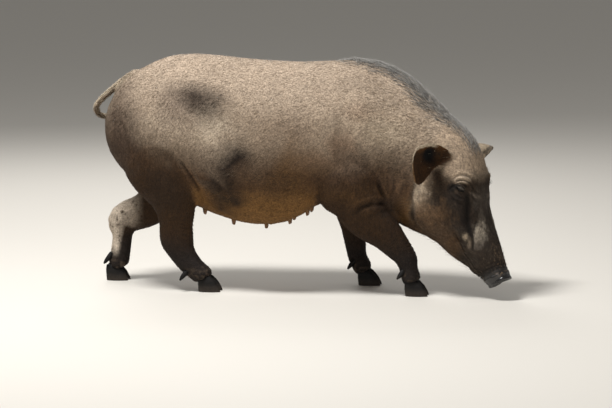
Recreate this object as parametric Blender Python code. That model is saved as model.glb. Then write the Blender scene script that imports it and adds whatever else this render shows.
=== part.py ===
"""Life-size wild boar sow, walking with her head lowered to the ground.

Metres, +Z up. The sow faces +X, her right side is towards -Y, and the floor is Z = 0.
All her flesh is modelled as one body: lofts for trunk, neck, head and legs, with rounded
masses for the muscles, fused and smoothed. Thin cuts then part it into the named pieces.
Eyes, ears, tail, hooves and dewclaws are solids of their own, let into the flesh.
"""

import math
from collections import namedtuple
from functools import partial

import bmesh
import bpy
from mathutils import Matrix, Vector

# Driving dimensions
GAP = 0.0003  # between solids that meet
HEAD_TURN = math.radians(22)  # the head looks towards the right side
HEAD_PIVOT_X = 0.22  # vertical axis, in the neck, about which the head is turned
EYE_RADIUS = 0.0125
EAR_THICKNESS = 0.0045
HOOF_LENGTH, HOOF_WIDTH, HOOF_HEIGHT = 0.060, 0.027, 0.042
HOOF_SPREAD = 0.0285  # between the middles of the two claws of a foot
HOOF_SPLAY = math.radians(5)
DEWCLAW_LENGTH, DEWCLAW_RADIUS = 0.026, 0.0080
TEAT_LENGTH, TEAT_RADIUS = 0.016, 0.0055

# Fusing and thinning of the flesh
VOXEL = 0.006
SMOOTHING_STEPS = 7
FLESH_TRIANGLES = 2750
RING_SIDES = 32
STEPS_BETWEEN = 4
CRISP_ANGLE = math.radians(42)

RIGHT, LEFT = -1, 1

# A ring of the trunk, neck or head, seen from the side: its highest and lowest points, its
# half width, the share of its height at which it is widest, and how square it is above and
# below that (2 is an ellipse).
Ring = namedtuple("Ring", "top_x top_z bottom_x bottom_z half_width waist crown keel")

TRUNK = [
    Ring(-0.508, 0.446, -0.508, 0.408, 0.030, 0.50, 2.0, 2.0),
    Ring(-0.497, 0.484, -0.501, 0.361, 0.075, 0.50, 2.1, 2.1),
    Ring(-0.466, 0.533, -0.470, 0.309, 0.108, 0.48, 2.1, 2.1),
    Ring(-0.418, 0.569, -0.418, 0.272, 0.134, 0.46, 2.1, 2.1),
    Ring(-0.351, 0.602, -0.351, 0.256, 0.150, 0.46, 2.1, 2.2),
    Ring(-0.280, 0.611, -0.286, 0.224, 0.156, 0.46, 2.1, 2.2),
    Ring(-0.195, 0.606, -0.203, 0.186, 0.166, 0.45, 2.1, 2.3),
    Ring(-0.099, 0.597, -0.104, 0.170, 0.176, 0.44, 2.1, 2.3),
    Ring(0.000, 0.593, -0.008, 0.192, 0.174, 0.45, 2.1, 2.2),
    Ring(0.088, 0.597, 0.078, 0.230, 0.160, 0.48, 2.0, 2.1),
    Ring(0.166, 0.600, 0.151, 0.222, 0.146, 0.50, 1.9, 2.1),
]
NECK = [
    Ring(0.248, 0.578, 0.222, 0.196, 0.130, 0.52, 1.9, 2.1),
    Ring(0.306, 0.545, 0.262, 0.178, 0.118, 0.52, 1.9, 2.1),
    Ring(0.359, 0.504, 0.292, 0.166, 0.109, 0.50, 1.9, 2.1),
    Ring(0.410, 0.460, 0.318, 0.159, 0.102, 0.48, 2.0, 2.1),
]
HEAD = [
    Ring(0.455, 0.425, 0.345, 0.152, 0.095, 0.48, 2.2, 2.1),
    Ring(0.483, 0.388, 0.368, 0.143, 0.089, 0.50, 2.3, 2.1),
    Ring(0.498, 0.343, 0.390, 0.131, 0.083, 0.52, 2.4, 2.1),
    Ring(0.506, 0.291, 0.408, 0.115, 0.074, 0.55, 2.4, 2.1),
    Ring(0.513, 0.240, 0.430, 0.099, 0.061, 0.57, 2.4, 2.1),
    Ring(0.530, 0.190, 0.454, 0.085, 0.050, 0.56, 2.4, 2.1),
    Ring(0.547, 0.151, 0.478, 0.073, 0.043, 0.54, 2.3, 2.1),
    Ring(0.561, 0.113, 0.497, 0.058, 0.038, 0.52, 2.2, 2.1),
    Ring(0.572, 0.083, 0.515, 0.044, 0.0335, 0.50, 2.1, 2.1),
    Ring(0.587, 0.059, 0.529, 0.028, 0.0360, 0.50, 2.0, 2.0),
]

# A section of a leg: its middle, and its half size fore and aft and across.
Section = namedtuple("Section", "x y z half_length half_width")

HIND_RIGHT = [
    Section(-0.377, -0.082, 0.423, 0.105, 0.055),
    Section(-0.351, -0.090, 0.332, 0.096, 0.058),
    Section(-0.324, -0.092, 0.267, 0.076, 0.050),
    Section(-0.313, -0.090, 0.215, 0.053, 0.038),
    Section(-0.311, -0.088, 0.168, 0.044, 0.031),
    Section(-0.309, -0.086, 0.132, 0.045, 0.029),
    Section(-0.294, -0.085, 0.095, 0.034, 0.026),
    Section(-0.268, -0.085, 0.062, 0.029, 0.028),
    Section(-0.240, -0.085, 0.040, 0.027, 0.031),
]
HIND_LEFT = [
    Section(-0.377, 0.082, 0.415, 0.105, 0.055),
    Section(-0.360, 0.090, 0.320, 0.091, 0.057),
    Section(-0.364, 0.092, 0.252, 0.070, 0.048),
    Section(-0.417, 0.090, 0.192, 0.049, 0.036),
    Section(-0.486, 0.088, 0.162, 0.041, 0.029),
    Section(-0.488, 0.086, 0.128, 0.029, 0.027),
    Section(-0.489, 0.085, 0.105, 0.026, 0.025),
    Section(-0.495, 0.085, 0.064, 0.027, 0.028),
    Section(-0.498, 0.085, 0.040, 0.028, 0.031),
]
FORE_RIGHT = [
    Section(0.143, -0.090, 0.371, 0.080, 0.048),
    Section(0.150, -0.094, 0.280, 0.072, 0.048),
    Section(0.180, -0.094, 0.209, 0.060, 0.043),
    Section(0.233, -0.093, 0.160, 0.044, 0.035),
    Section(0.268, -0.092, 0.122, 0.034, 0.030),
    Section(0.290, -0.090, 0.093, 0.028, 0.028),
    Section(0.294, -0.088, 0.068, 0.024, 0.026),
    Section(0.302, -0.087, 0.042, 0.026, 0.031),
]
FORE_LEFT = [
    Section(0.122, 0.090, 0.365, 0.080, 0.048),
    Section(0.120, 0.092, 0.280, 0.066, 0.046),
    Section(0.124, 0.091, 0.212, 0.050, 0.041),
    Section(0.130, 0.089, 0.152, 0.034, 0.032),
    Section(0.135, 0.088, 0.108, 0.028, 0.028),
    Section(0.140, 0.087, 0.073, 0.025, 0.026),
    Section(0.157, 0.086, 0.042, 0.026, 0.031),
]

# A rounded mass under the skin, built on both sides: its middle on the left side, its three
# half sizes, and its lean about the Y axis in degrees. Head masses turn with the head.
Mass = namedtuple("Mass", "x y z half_x half_y half_z lean")

BODY_MASSES = [
    Mass(-0.385, 0.080, 0.415, 0.108, 0.068, 0.125, 12),  # haunch
    Mass(0.150, 0.090, 0.400, 0.082, 0.054, 0.130, -12),  # shoulder blade
    Mass(0.118, 0.098, 0.290, 0.068, 0.050, 0.085, 0),  # upper arm
    Mass(-0.090, 0.060, 0.262, 0.150, 0.105, 0.090, 0),  # belly
]
HEAD_MASSES = [
    Mass(0.400, 0.055, 0.222, 0.062, 0.040, 0.060, -30),  # jowl
    Mass(0.452, 0.060, 0.262, 0.040, 0.022, 0.050, 20),  # cheekbone
    Mass(0.476, 0.050, 0.300, 0.024, 0.020, 0.026, 10),  # brow
    Mass(0.512, 0.022, 0.105, 0.024, 0.020, 0.046, 32),  # upper lip
]
EYE = Vector((0.474, 0.066, 0.287))

# A row across an ear: how far out from its root it lies, where its caudal and its cranial
# edge are, how deep it is hollowed, and how far it is lifted towards the opening.
EarRow = namedtuple("EarRow", "out caudal cranial hollow lift")
EAR = [
    EarRow(-0.028, 0.004, -0.008, 0.002, 0.016),
    EarRow(-0.020, 0.020, -0.014, 0.010, 0.011),
    EarRow(-0.004, 0.033, -0.017, 0.017, 0.004),
    EarRow(0.018, 0.043, -0.020, 0.019, 0.000),
    EarRow(0.040, 0.046, -0.034, 0.016, 0.000),
    EarRow(0.060, 0.047, -0.047, 0.012, 0.002),
    EarRow(0.074, 0.044, -0.051, 0.009, 0.003),
    EarRow(0.086, 0.030, -0.050, 0.006, 0.004),
    EarRow(0.096, 0.004, -0.040, 0.001, 0.005),
]
# An ear before the head is turned: its root, which way it stands out, and which way its
# caudal edge lies from its middle. The right ear is held back and the left one forward.
EarPose = namedtuple("EarPose", "root out edge")
EARS = {
    "right": EarPose((0.431, -0.092, 0.363), (-0.370, -0.918, -0.142), (-0.070, -0.124, 0.990)),
    "left": EarPose((0.436, 0.072, 0.349), (-0.258, 0.921, 0.293), (0.966, 0.248, 0.072)),
}

# The tail, from its root to the tuft: middle and half thickness.
TAIL = [
    (-0.400, 0.000, 0.554, 0.0160),
    (-0.432, 0.000, 0.553, 0.0130),
    (-0.466, 0.002, 0.535, 0.0092),
    (-0.502, 0.006, 0.508, 0.0070),
    (-0.530, 0.011, 0.483, 0.0062),
    (-0.543, 0.018, 0.463, 0.0060),
    (-0.538, 0.028, 0.447, 0.0058),
    (-0.524, 0.038, 0.440, 0.0052),
    (-0.511, 0.047, 0.438, 0.0036),
]

# A foot: the middle of its sole, and where its dewclaws come out of the pastern.
Foot = namedtuple("Foot", "x y dewclaw_x dewclaw_z")
FEET = {
    "right_hind": Foot(-0.222, -0.085, -0.284, 0.050),
    "left_hind": Foot(-0.499, 0.085, -0.519, 0.065),
    "right_fore": Foot(0.316, -0.087, 0.281, 0.064),
    "left_fore": Foot(0.174, 0.086, 0.132, 0.063),
}

# The teats, in two rows under the belly: how far along each pair sits, and half their spread.
TEAT_XS = (-0.244, -0.168, -0.082, -0.020, 0.026)
TEAT_Y = 0.040

# What is parted from the flesh as a leg: an arch seen from the side, from the heights where
# it springs over its top, down to the floor, and the span across.
Arch = namedtuple("Arch", "rear front spring top rear_foot front_foot y_from y_to")
LEG_ARCHES = {
    "leg_fore_right": Arch(0.052, 0.238, 0.232, 0.335, 0.052, 0.480, -0.30, -0.030),
    "leg_fore_left": Arch(0.048, 0.205, 0.230, 0.325, 0.048, 0.240, 0.030, 0.30),
    "leg_hind_right": Arch(-0.462, -0.256, 0.205, 0.385, -0.400, -0.130, -0.30, -0.022),
    "leg_hind_left": Arch(-0.524, -0.272, 0.180, 0.385, -0.600, -0.272, 0.022, 0.30),
}
# Cuts across the body from top to bottom, each a point on the cut and the way it faces.
NECK_CUT = (Vector((0.185, 0.0, 0.40)), Vector((1.0, 0.0, 0.10)))
SNOUT_CUT = (Vector((0.542, 0.0, 0.060)), Vector((0.45, 0.0, -0.89)))
HEAD_CUT = (Vector((0.366, 0.0, 0.318)), Vector((0.92, 0.0, -0.33)))


def clear_scene():
    for obj in list(bpy.data.objects):
        bpy.data.objects.remove(obj, do_unlink=True)


def finish(name, colour, roughness):
    material = bpy.data.materials.new(name)
    material.use_nodes = True
    shader = material.node_tree.nodes["Principled BSDF"]
    shader.inputs["Base Color"].default_value = (*colour, 1.0)
    shader.inputs["Roughness"].default_value = roughness
    return material


def make_object(name, bm, material=None):
    """A linked object of triangles from a bmesh, with its faces pointing out."""
    bmesh.ops.recalc_face_normals(bm, faces=bm.faces)
    bmesh.ops.triangulate(bm, faces=bm.faces)
    mesh = bpy.data.meshes.new(name)
    bm.to_mesh(mesh)
    bm.free()
    obj = bpy.data.objects.new(name, mesh)
    bpy.context.scene.collection.objects.link(obj)
    if material:
        mesh.materials.append(material)
    return obj


def bake_modifiers(obj):
    """The object's modifiers worked into its mesh."""
    graph = bpy.context.evaluated_depsgraph_get()
    baked = bpy.data.meshes.new_from_object(obj.evaluated_get(graph), depsgraph=graph)
    obj.modifiers.clear()
    obj.data = baked


def between(stations, steps):
    """The stations with steps - 1 more between each two, on a smooth curve through them all."""
    filled = []
    last = len(stations) - 1
    for i in range(last):
        before, a = stations[max(i - 1, 0)], stations[i]
        b, after = stations[i + 1], stations[min(i + 2, last)]
        for step in range(steps):
            t = step / steps
            filled.append([
                0.5 * (2 * q + (r - p) * t + (2 * p - 5 * q + 4 * r - s) * t * t
                       + (3 * q - p - 3 * r + s) * t ** 3)
                for p, q, r, s in zip(before, a, b, after)
            ])
    filled.append(list(stations[last]))
    return filled


def rounded(angle, squareness):
    """Cosine and sine of an angle, pushed out towards a square."""
    power = 2 / squareness
    c, s = math.cos(angle), math.sin(angle)
    return math.copysign(abs(c) ** power, c), math.copysign(abs(s) ** power, s)


def bridge(bm, loops):
    """Faces between successive rings of points, and a cap at each end."""
    rings = [[bm.verts.new(p) for p in loop] for loop in loops]
    sides = len(rings[0])
    for a, b in zip(rings, rings[1:]):
        for i in range(sides):
            j = (i + 1) % sides
            bm.faces.new((a[i], a[j], b[j], b[i]))
    bm.faces.new(list(reversed(rings[0])))
    bm.faces.new(rings[-1])


def turned(point, share=1.0):
    """A point of the head as drawn facing straight ahead, turned with the head."""
    pivot = Vector((HEAD_PIVOT_X, 0, 0))
    return Matrix.Rotation(-HEAD_TURN * share, 3, "Z") @ (Vector(point) - pivot) + pivot


def body_loft(bm):
    """Trunk, neck and head in one loft. The turn of the head grows along the neck."""
    rings = between(TRUNK + NECK + HEAD, STEPS_BETWEEN)
    start = (len(TRUNK) - 2) * STEPS_BETWEEN
    end = (len(TRUNK) + len(NECK)) * STEPS_BETWEEN
    loops = []
    for index, values in enumerate(rings):
        ring = Ring(*values)
        share = min(max((index - start) / (end - start), 0), 1)
        share = share * share * (3 - 2 * share)
        top = Vector((ring.top_x, 0, ring.top_z))
        bottom = Vector((ring.bottom_x, 0, ring.bottom_z))
        middle = bottom.lerp(top, ring.waist)
        loop = []
        for i in range(RING_SIDES):
            angle = 2 * math.pi * i / RING_SIDES
            up = math.sin(angle) > 0
            across, rise = rounded(angle, ring.crown if up else ring.keel)
            reach = (top - middle) if up else (middle - bottom)
            point = middle + reach * rise + Vector((0, ring.half_width * across, 0))
            loop.append(turned(point, share))
        loops.append(loop)
    bridge(bm, loops)


def leg_loft(bm, sections):
    """A leg: ellipses square to its path, which lies fore and aft."""
    stations = [Section(*values) for values in between(sections, STEPS_BETWEEN)]
    foot = stations[-1]
    stations.append(Section(foot.x + 0.006, foot.y, foot.z - 0.010,
                            0.75 * foot.half_length, 0.80 * foot.half_width))
    loops = []
    for i, section in enumerate(stations):
        before, after = stations[max(i - 1, 0)], stations[min(i + 1, len(stations) - 1)]
        along = Vector((after.x - before.x, 0, after.z - before.z)).normalized()
        fore = Vector((-along.z, 0, along.x))
        middle = Vector((section.x, section.y, section.z))
        loop = []
        for k in range(RING_SIDES):
            across, rise = rounded(2 * math.pi * k / RING_SIDES, 2.2)
            loop.append(middle + fore * section.half_length * across
                        + Vector((0, section.half_width * rise, 0)))
        loops.append(loop)
    bridge(bm, loops)


def mass(bm, m, side, place):
    """An ellipsoid with its middle where place() puts it."""
    lean = Matrix.Rotation(math.radians(m.lean), 4, "Y")
    size = Matrix.Diagonal((m.half_x, m.half_y, m.half_z, 1))
    made = bmesh.ops.create_icosphere(bm, subdivisions=3, radius=1)
    middle = Vector((m.x, side * m.y, m.z))
    for vert in made["verts"]:
        vert.co = place(middle + (lean @ size @ vert.co.to_4d()).to_3d())


def build_flesh():
    """All flesh but ears and tail, fused into one smooth closed body of few triangles."""
    bm = bmesh.new()
    body_loft(bm)
    for sections in (HIND_RIGHT, HIND_LEFT, FORE_RIGHT, FORE_LEFT):
        leg_loft(bm, sections)
    for side in (RIGHT, LEFT):
        for m in BODY_MASSES:
            mass(bm, m, side, Vector)
        for m in HEAD_MASSES:
            mass(bm, m, side, turned)
    flesh = make_object("flesh", bm)
    fuse = flesh.modifiers.new("fuse", "REMESH")
    fuse.mode = "VOXEL"
    fuse.voxel_size = VOXEL
    smooth = flesh.modifiers.new("smooth", "SMOOTH")
    smooth.factor = 0.5
    smooth.iterations = SMOOTHING_STEPS
    bake_modifiers(flesh)
    thin = flesh.modifiers.new("thin", "DECIMATE")
    thin.ratio = FLESH_TRIANGLES / (2 * len(flesh.data.polygons))
    bake_modifiers(flesh)
    return flesh


def boolean(host, tool, operation):
    step = host.modifiers.new("part", "BOOLEAN")
    step.operation = operation
    step.solver = "EXACT"
    step.object = tool
    bake_modifiers(host)


def keep_largest(obj):
    """Only the piece of the mesh with the most faces. Slivers left by a cut are dropped."""
    bm = bmesh.new()
    bm.from_mesh(obj.data)
    bmesh.ops.remove_doubles(bm, verts=bm.verts, dist=1e-6)
    left = set(bm.verts)
    pieces = []
    while left:
        piece = {left.pop()}
        edge = list(piece)
        while edge:
            vert = edge.pop()
            for near in (link.other_vert(vert) for link in vert.link_edges):
                if near in left:
                    left.remove(near)
                    piece.add(near)
                    edge.append(near)
        pieces.append(piece)
    pieces.sort(key=len)
    for piece in pieces[:-1]:
        bmesh.ops.delete(bm, geom=list(piece), context="VERTS")
    bm.to_mesh(obj.data)
    bm.free()


def copy_of(obj, name, grow=0.0):
    """A linked copy, with its skin moved out by grow."""
    copied = obj.copy()
    copied.name = name
    copied.data = obj.data.copy()
    bpy.context.scene.collection.objects.link(copied)
    if grow:
        bm = bmesh.new()
        bm.from_mesh(copied.data)
        bm.normal_update()
        for vert in bm.verts:
            vert.co += vert.normal * vert.calc_shell_factor() * grow
        bm.to_mesh(copied.data)
        bm.free()
    return copied


def let_in(host, solid):
    """Room for the solid cut out of the host, with the gap between them."""
    tool = copy_of(solid, "tool", GAP)
    boolean(host, tool, "DIFFERENCE")
    bpy.data.objects.remove(tool, do_unlink=True)
    keep_largest(host)


def divide(body, name, block):
    """What lies inside a block cut off the body with a gap, as a new object.

    block(grow) makes the block, with its walls moved out by grow.
    """
    part = copy_of(body, name)
    for host, operation, grow in ((part, "INTERSECT", 0.0), (body, "DIFFERENCE", GAP)):
        tool = block(grow)
        boolean(host, tool, operation)
        bpy.data.objects.remove(tool, do_unlink=True)
        keep_largest(host)
    return part


def arch_block(arch, grow):
    """A block under an arch, which widens or narrows from its springing to the floor."""
    middle, half = (arch.rear + arch.front) / 2, (arch.front - arch.rear) / 2 + grow
    rise = arch.top - arch.spring + grow
    outline = [(arch.rear_foot - grow, -0.1)]
    for i in range(13):
        angle = math.pi * (1 - i / 12)
        outline.append((middle + half * math.cos(angle), arch.spring + rise * math.sin(angle)))
    outline.append((arch.front_foot + grow, -0.1))
    bm = bmesh.new()
    bridge(bm, [[(x, y, z) for x, z in outline]
                for y in (arch.y_from - grow, arch.y_to + grow)])
    return make_object("block", bm)


def block_ahead(point, facing, turn, grow):
    """A block on the far side of a cut, whose facing is turned about Z."""
    facing = (Matrix.Rotation(-turn, 3, "Z") @ facing).normalized()
    bm = bmesh.new()
    bmesh.ops.create_cube(bm, size=2.0)
    grip = facing.to_track_quat("X", "Z").to_matrix().to_4x4()
    bmesh.ops.transform(bm, verts=bm.verts, matrix=Matrix.Translation(point - facing * grow)
                        @ grip @ Matrix.Translation((1.0, 0, 0)))
    return make_object("block", bm)


def claw(name, x, y, outward, material):
    """One claw of a hoof: flat sole on the floor, pointed toe, straight inner side."""
    rings = [(0.0, 1.0, 0.0), (0.40 * HOOF_HEIGHT, 0.93, -0.004),
             (0.78 * HOOF_HEIGHT, 0.74, -0.010), (HOOF_HEIGHT, 0.50, -0.015)]
    loops = []
    for z, scale, back in rings:
        loop = []
        for i in range(12):
            angle = 2 * math.pi * i / 12
            along, across = math.cos(angle), math.sin(angle)
            width = HOOF_WIDTH / 2 * (0.86 - 0.20 * along - 0.20 * along ** 3)
            if across * outward < 0:
                width *= 0.80
            px = HOOF_LENGTH / 2 * along * scale + back
            py = width * across * scale * 1.12
            turn = HOOF_SPLAY * outward
            loop.append((x + px * math.cos(turn) - py * math.sin(turn),
                         y + px * math.sin(turn) + py * math.cos(turn), z))
        loops.append(loop)
    bm = bmesh.new()
    bridge(bm, loops)
    return make_object(name, bm, material)


def dewclaw(name, foot, outward, material):
    """A small blunt cone behind and beside the pastern, pointing down and back."""
    bm = bmesh.new()
    rings = [(-0.010, 0.90), (0.55, 0.85), (1.0, 0.25)]
    way = Vector((-0.55, 0.34 * outward, -0.75)).normalized()
    side = way.orthogonal().normalized()
    other = way.cross(side)
    start = Vector((foot.dewclaw_x, foot.y + 0.017 * outward, foot.dewclaw_z))
    loops = []
    for along, width in rings:
        at = start + way * (along * DEWCLAW_LENGTH if along > 0 else along)
        loops.append([at + (side * math.cos(a) + other * math.sin(a)) * DEWCLAW_RADIUS * width
                      for a in (2 * math.pi * k / 7 for k in range(7))])
    bridge(bm, loops)
    return make_object(name, bm, material)


def ear(name, side, pose, material):
    """A leaf of even thickness, hollowed along its rows, thinning towards its rim."""
    root = Vector(pose.root)
    out, edge = Vector(pose.out).normalized(), Vector(pose.edge)
    edge = (edge - out * edge.dot(out)).normalized()
    opening = out.cross(edge) * side
    rows = EAR
    across = 7
    faces = []
    for layer in (0, 1):
        sheet = []
        for index, row in enumerate(rows):
            for k in range(across):
                s = k / (across - 1)
                bow = 1 - (2 * s - 1) ** 2
                rim = 0.45 + 0.55 * bow if index < len(rows) - 1 else 0.40
                q = row.caudal + (row.cranial - row.caudal) * s
                depth = row.lift - row.hollow * bow - layer * EAR_THICKNESS * rim
                sheet.append(turned(root + out * row.out + edge * q + opening * depth))
        faces.append(sheet)
    bm = bmesh.new()
    front, back = ([bm.verts.new(p) for p in sheet] for sheet in faces)
    count = len(rows)
    for i in range(count - 1):
        for k in range(across - 1):
            a = i * across + k
            quad = (a, a + 1, a + 1 + across, a + across)
            bm.faces.new([front[v] for v in quad])
            bm.faces.new([back[v] for v in reversed(quad)])
    last = (count - 1) * across
    rim = (list(range(across)) + [i * across + across - 1 for i in range(1, count)]
           + [last + k for k in range(across - 2, -1, -1)]
           + [i * across for i in range(count - 2, 0, -1)])
    for a, b in zip(rim, rim[1:] + rim[:1]):
        bm.faces.new((front[a], back[a], back[b], front[b]))
    return make_object(name, bm, material)


def tail(material):
    loops = []
    stations = between(TAIL, 2)
    for i, (x, y, z, thickness) in enumerate(stations):
        before, after = stations[max(i - 1, 0)], stations[min(i + 1, len(stations) - 1)]
        way = (Vector(after[:3]) - Vector(before[:3])).normalized()
        side = Vector((0, 1, 0))
        side = (side - way * way.dot(side)).normalized()
        other = way.cross(side)
        loops.append([Vector((x, y, z)) + (side * math.cos(a) + other * math.sin(a)) * thickness
                      for a in (2 * math.pi * k / 8 for k in range(8))])
    bm = bmesh.new()
    bridge(bm, loops)
    return make_object("tail", bm, material)


def eyeball(name, side, material):
    bm = bmesh.new()
    bmesh.ops.create_uvsphere(bm, u_segments=14, v_segments=8, radius=EYE_RADIUS)
    eye = turned(Vector((EYE.x, EYE.y * side, EYE.z)))
    bmesh.ops.translate(bm, verts=bm.verts, vec=eye)
    return make_object(name, bm, material)


def lowest(obj, x, y):
    """Height of the underside of an object at a place in plan."""
    hit, place, _, _ = obj.ray_cast(Vector((x, y, -1)), Vector((0, 0, 1)))
    return place.z


def add_teats(trunk):
    """Blunt cones joined to the belly."""
    for x in TEAT_XS:
        for side in (RIGHT, LEFT):
            z = lowest(trunk, x, side * TEAT_Y)
            rings = [(0.010, 1.1), (-0.6 * TEAT_LENGTH, 0.85), (-TEAT_LENGTH, 0.45)]
            loops = [[(x + TEAT_RADIUS * width * math.cos(a),
                       side * TEAT_Y + TEAT_RADIUS * width * math.sin(a), z + rise)
                      for a in (2 * math.pi * k / 7 for k in range(7))]
                     for rise, width in rings]
            bm = bmesh.new()
            bridge(bm, loops)
            teat = make_object("teat", bm)
            boolean(trunk, teat, "UNION")
            bpy.data.objects.remove(teat, do_unlink=True)
    keep_largest(trunk)


def shade(obj):
    """Smooth faces, with the edges of cuts and soles kept crisp."""
    bm = bmesh.new()
    bm.from_mesh(obj.data)
    for face in bm.faces:
        face.smooth = True
    for edge in bm.edges:
        edge.smooth = edge.calc_face_angle(0.0) < CRISP_ANGLE
    bm.to_mesh(obj.data)
    bm.free()


def centre_on_floor():
    """Every object moved so that the middle of the whole is over the origin, in plan."""
    lows, highs = [], []
    for obj in bpy.data.objects:
        lows.append([min(v.co[i] for v in obj.data.vertices) for i in range(3)])
        highs.append([max(v.co[i] for v in obj.data.vertices) for i in range(3)])
    low = [min(values) for values in zip(*lows)]
    high = [max(values) for values in zip(*highs)]
    shift = Vector((-(low[0] + high[0]) / 2, -(low[1] + high[1]) / 2, -low[2]))
    for obj in bpy.data.objects:
        for vert in obj.data.vertices:
            vert.co += shift
    print("moved by", [round(value, 5) for value in shift])
    return shift


def main():
    clear_scene()
    hide = finish("hide", (0.36, 0.28, 0.21), 0.75)
    dusk = finish("dark_hide", (0.16, 0.12, 0.09), 0.75)
    horn = finish("hoof_horn", (0.045, 0.038, 0.034), 0.45)
    wet = finish("eye", (0.02, 0.012, 0.008), 0.10)

    trunk = build_flesh()
    trunk.name = "trunk"
    flesh = {"trunk": trunk}
    for name, arch in LEG_ARCHES.items():
        flesh[name] = divide(trunk, name, partial(arch_block, arch))
    neck = divide(trunk, "neck", partial(block_ahead, *NECK_CUT, 0.0))
    point, facing = HEAD_CUT
    ahead = partial(block_ahead, turned(point, 0.9), facing, HEAD_TURN * 0.85)
    head = divide(neck, "head", ahead)
    point, facing = SNOUT_CUT
    ahead = partial(block_ahead, turned(point), facing, HEAD_TURN)
    flesh.update(neck=neck, head=head, snout=divide(head, "snout", ahead))
    flesh["tail"] = tail(dusk)
    let_in(trunk, flesh["tail"])
    add_teats(trunk)

    for side, which in ((RIGHT, "right"), (LEFT, "left")):
        ball = eyeball("eye_" + which, side, wet)
        let_in(head, ball)
        leaf = ear("ear_" + which, side, EARS[which], dusk)
        let_in(head, leaf)
    for which, foot in FEET.items():
        side, end = which.split("_")
        leg = flesh["leg_" + end + "_" + side]
        for place, outward in (("a", RIGHT), ("b", LEFT)):
            made = claw("claw_" + which + "_" + place, foot.x, foot.y + outward * HOOF_SPREAD / 2,
                        outward, horn)
            let_in(leg, made)
            made = dewclaw("dewclaw_" + which + "_" + place, foot, outward, horn)
            let_in(leg, made)
    for name, obj in flesh.items():
        obj.data.materials.clear()
        obj.data.materials.append(dusk if name.startswith(("leg", "tail")) else hide)
    for obj in bpy.data.objects:
        obj.data.name = obj.name
        shade(obj)
    return centre_on_floor()


if __name__ == "__main__":
    main()
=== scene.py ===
"""A wild boar sow, walking with her head lowered to the ground.

One skin is fused from the solids of the flesh and sculpted into folds, lids, lips and
nostrils. Short bristles lie over it, longer ones stand along the crest and hang in the tail,
and eyes, claws and dewclaws are pieces of their own. Sizes are in metres, angles in degrees.
"""

import itertools
import logging
import math
from collections.abc import Iterator
from contextlib import contextmanager
from dataclasses import dataclass, field
from enum import Enum

import bpy
import numpy as np
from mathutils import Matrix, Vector
from mathutils.bvhtree import BVHTree


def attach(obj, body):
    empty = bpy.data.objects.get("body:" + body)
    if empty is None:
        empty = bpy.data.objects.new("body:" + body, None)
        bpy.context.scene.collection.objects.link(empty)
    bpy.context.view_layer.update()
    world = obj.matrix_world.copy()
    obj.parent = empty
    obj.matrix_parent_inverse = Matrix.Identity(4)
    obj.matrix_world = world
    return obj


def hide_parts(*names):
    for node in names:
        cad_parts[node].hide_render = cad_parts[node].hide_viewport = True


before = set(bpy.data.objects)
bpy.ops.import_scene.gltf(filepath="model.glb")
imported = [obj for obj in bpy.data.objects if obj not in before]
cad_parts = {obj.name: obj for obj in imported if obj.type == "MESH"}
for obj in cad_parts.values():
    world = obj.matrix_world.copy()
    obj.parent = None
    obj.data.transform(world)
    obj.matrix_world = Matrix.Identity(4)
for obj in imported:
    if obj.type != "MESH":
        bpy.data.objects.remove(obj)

logging.basicConfig(level=logging.INFO, format="%(message)s")
log = logging.getLogger("boar")

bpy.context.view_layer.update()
MIDDLE = np.array((-0.00481, 0.03, 0.0))  # from the body's own axes to the frame's
HEAD_TURN = math.radians(22)  # the head looks to the right
HEAD_PIVOT_X = 0.22
EYE_RADIUS = 0.0125
EYE_PLACE = np.array((0.474, -0.066, 0.287))  # in the head's axes, on its right
EYE_GAZE = np.array((0.48, -0.87, -0.10))
SLIT_LINE = np.array((0.773, 0.374, -0.511))  # from the eye's back corner to its front one
SLIT_HALF = 0.0120  # half the length of the slit between the lids
LID_REACH = 0.030  # how far from the eye the lids are shaped and coloured
DISC_PLACE = np.array((0.558, 0.0, 0.0435))
DISC_FACING = np.array((0.4512, 0.0, -0.8924))
TEATS = tuple((x, y) for x in (-0.244, -0.168, -0.082, -0.020, 0.026) for y in (-0.04, 0.04))
TEAT_TOP = 0.24  # round every teat the belly lies lower than this
RING = 2 * math.pi  # a full wave, for ripples that repeat
FAR = 9.0  # farther off than anything is


class Side(Enum):
    """A side of the animal, as the sign of Y on it."""

    RIGHT = -1
    LEFT = 1

    @property
    def word(self) -> str:
        """The side's name as the nodes spell it."""
        return self.name.lower()

    @property
    def mirror(self) -> np.ndarray:
        """What turns a place on this side into its like on the right."""
        return np.array((1.0, -self.value, 1.0))

    def holds(self, places: np.ndarray) -> np.ndarray:
        """Whether each place lies on this side of the middle line."""
        return np.sign(places[:, 1]) == self.value


def slit_axes() -> tuple[np.ndarray, np.ndarray, np.ndarray]:
    """The right eye's own axes: along the slit, upwards and along the gaze."""
    gaze = unit(EYE_GAZE)
    slit = unit(SLIT_LINE - gaze * (SLIT_LINE @ gaze))
    upwards = np.cross(slit, gaze)
    return slit, upwards * np.sign(upwards[2]), gaze


class Region(Enum):
    """A stretch of skin, and the solids that it stands for."""

    TRUNK = ("trunk",)
    NECK = ("neck",)
    HEAD = ("head",)
    SNOUT = ("snout",)
    TAIL = ("tail",)
    LEG = ("leg_fore_right", "leg_fore_left", "leg_hind_right", "leg_hind_left")
    EAR = ("ear_right", "ear_left")


FEET = ("right_hind", "left_hind", "right_fore", "left_fore")


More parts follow.
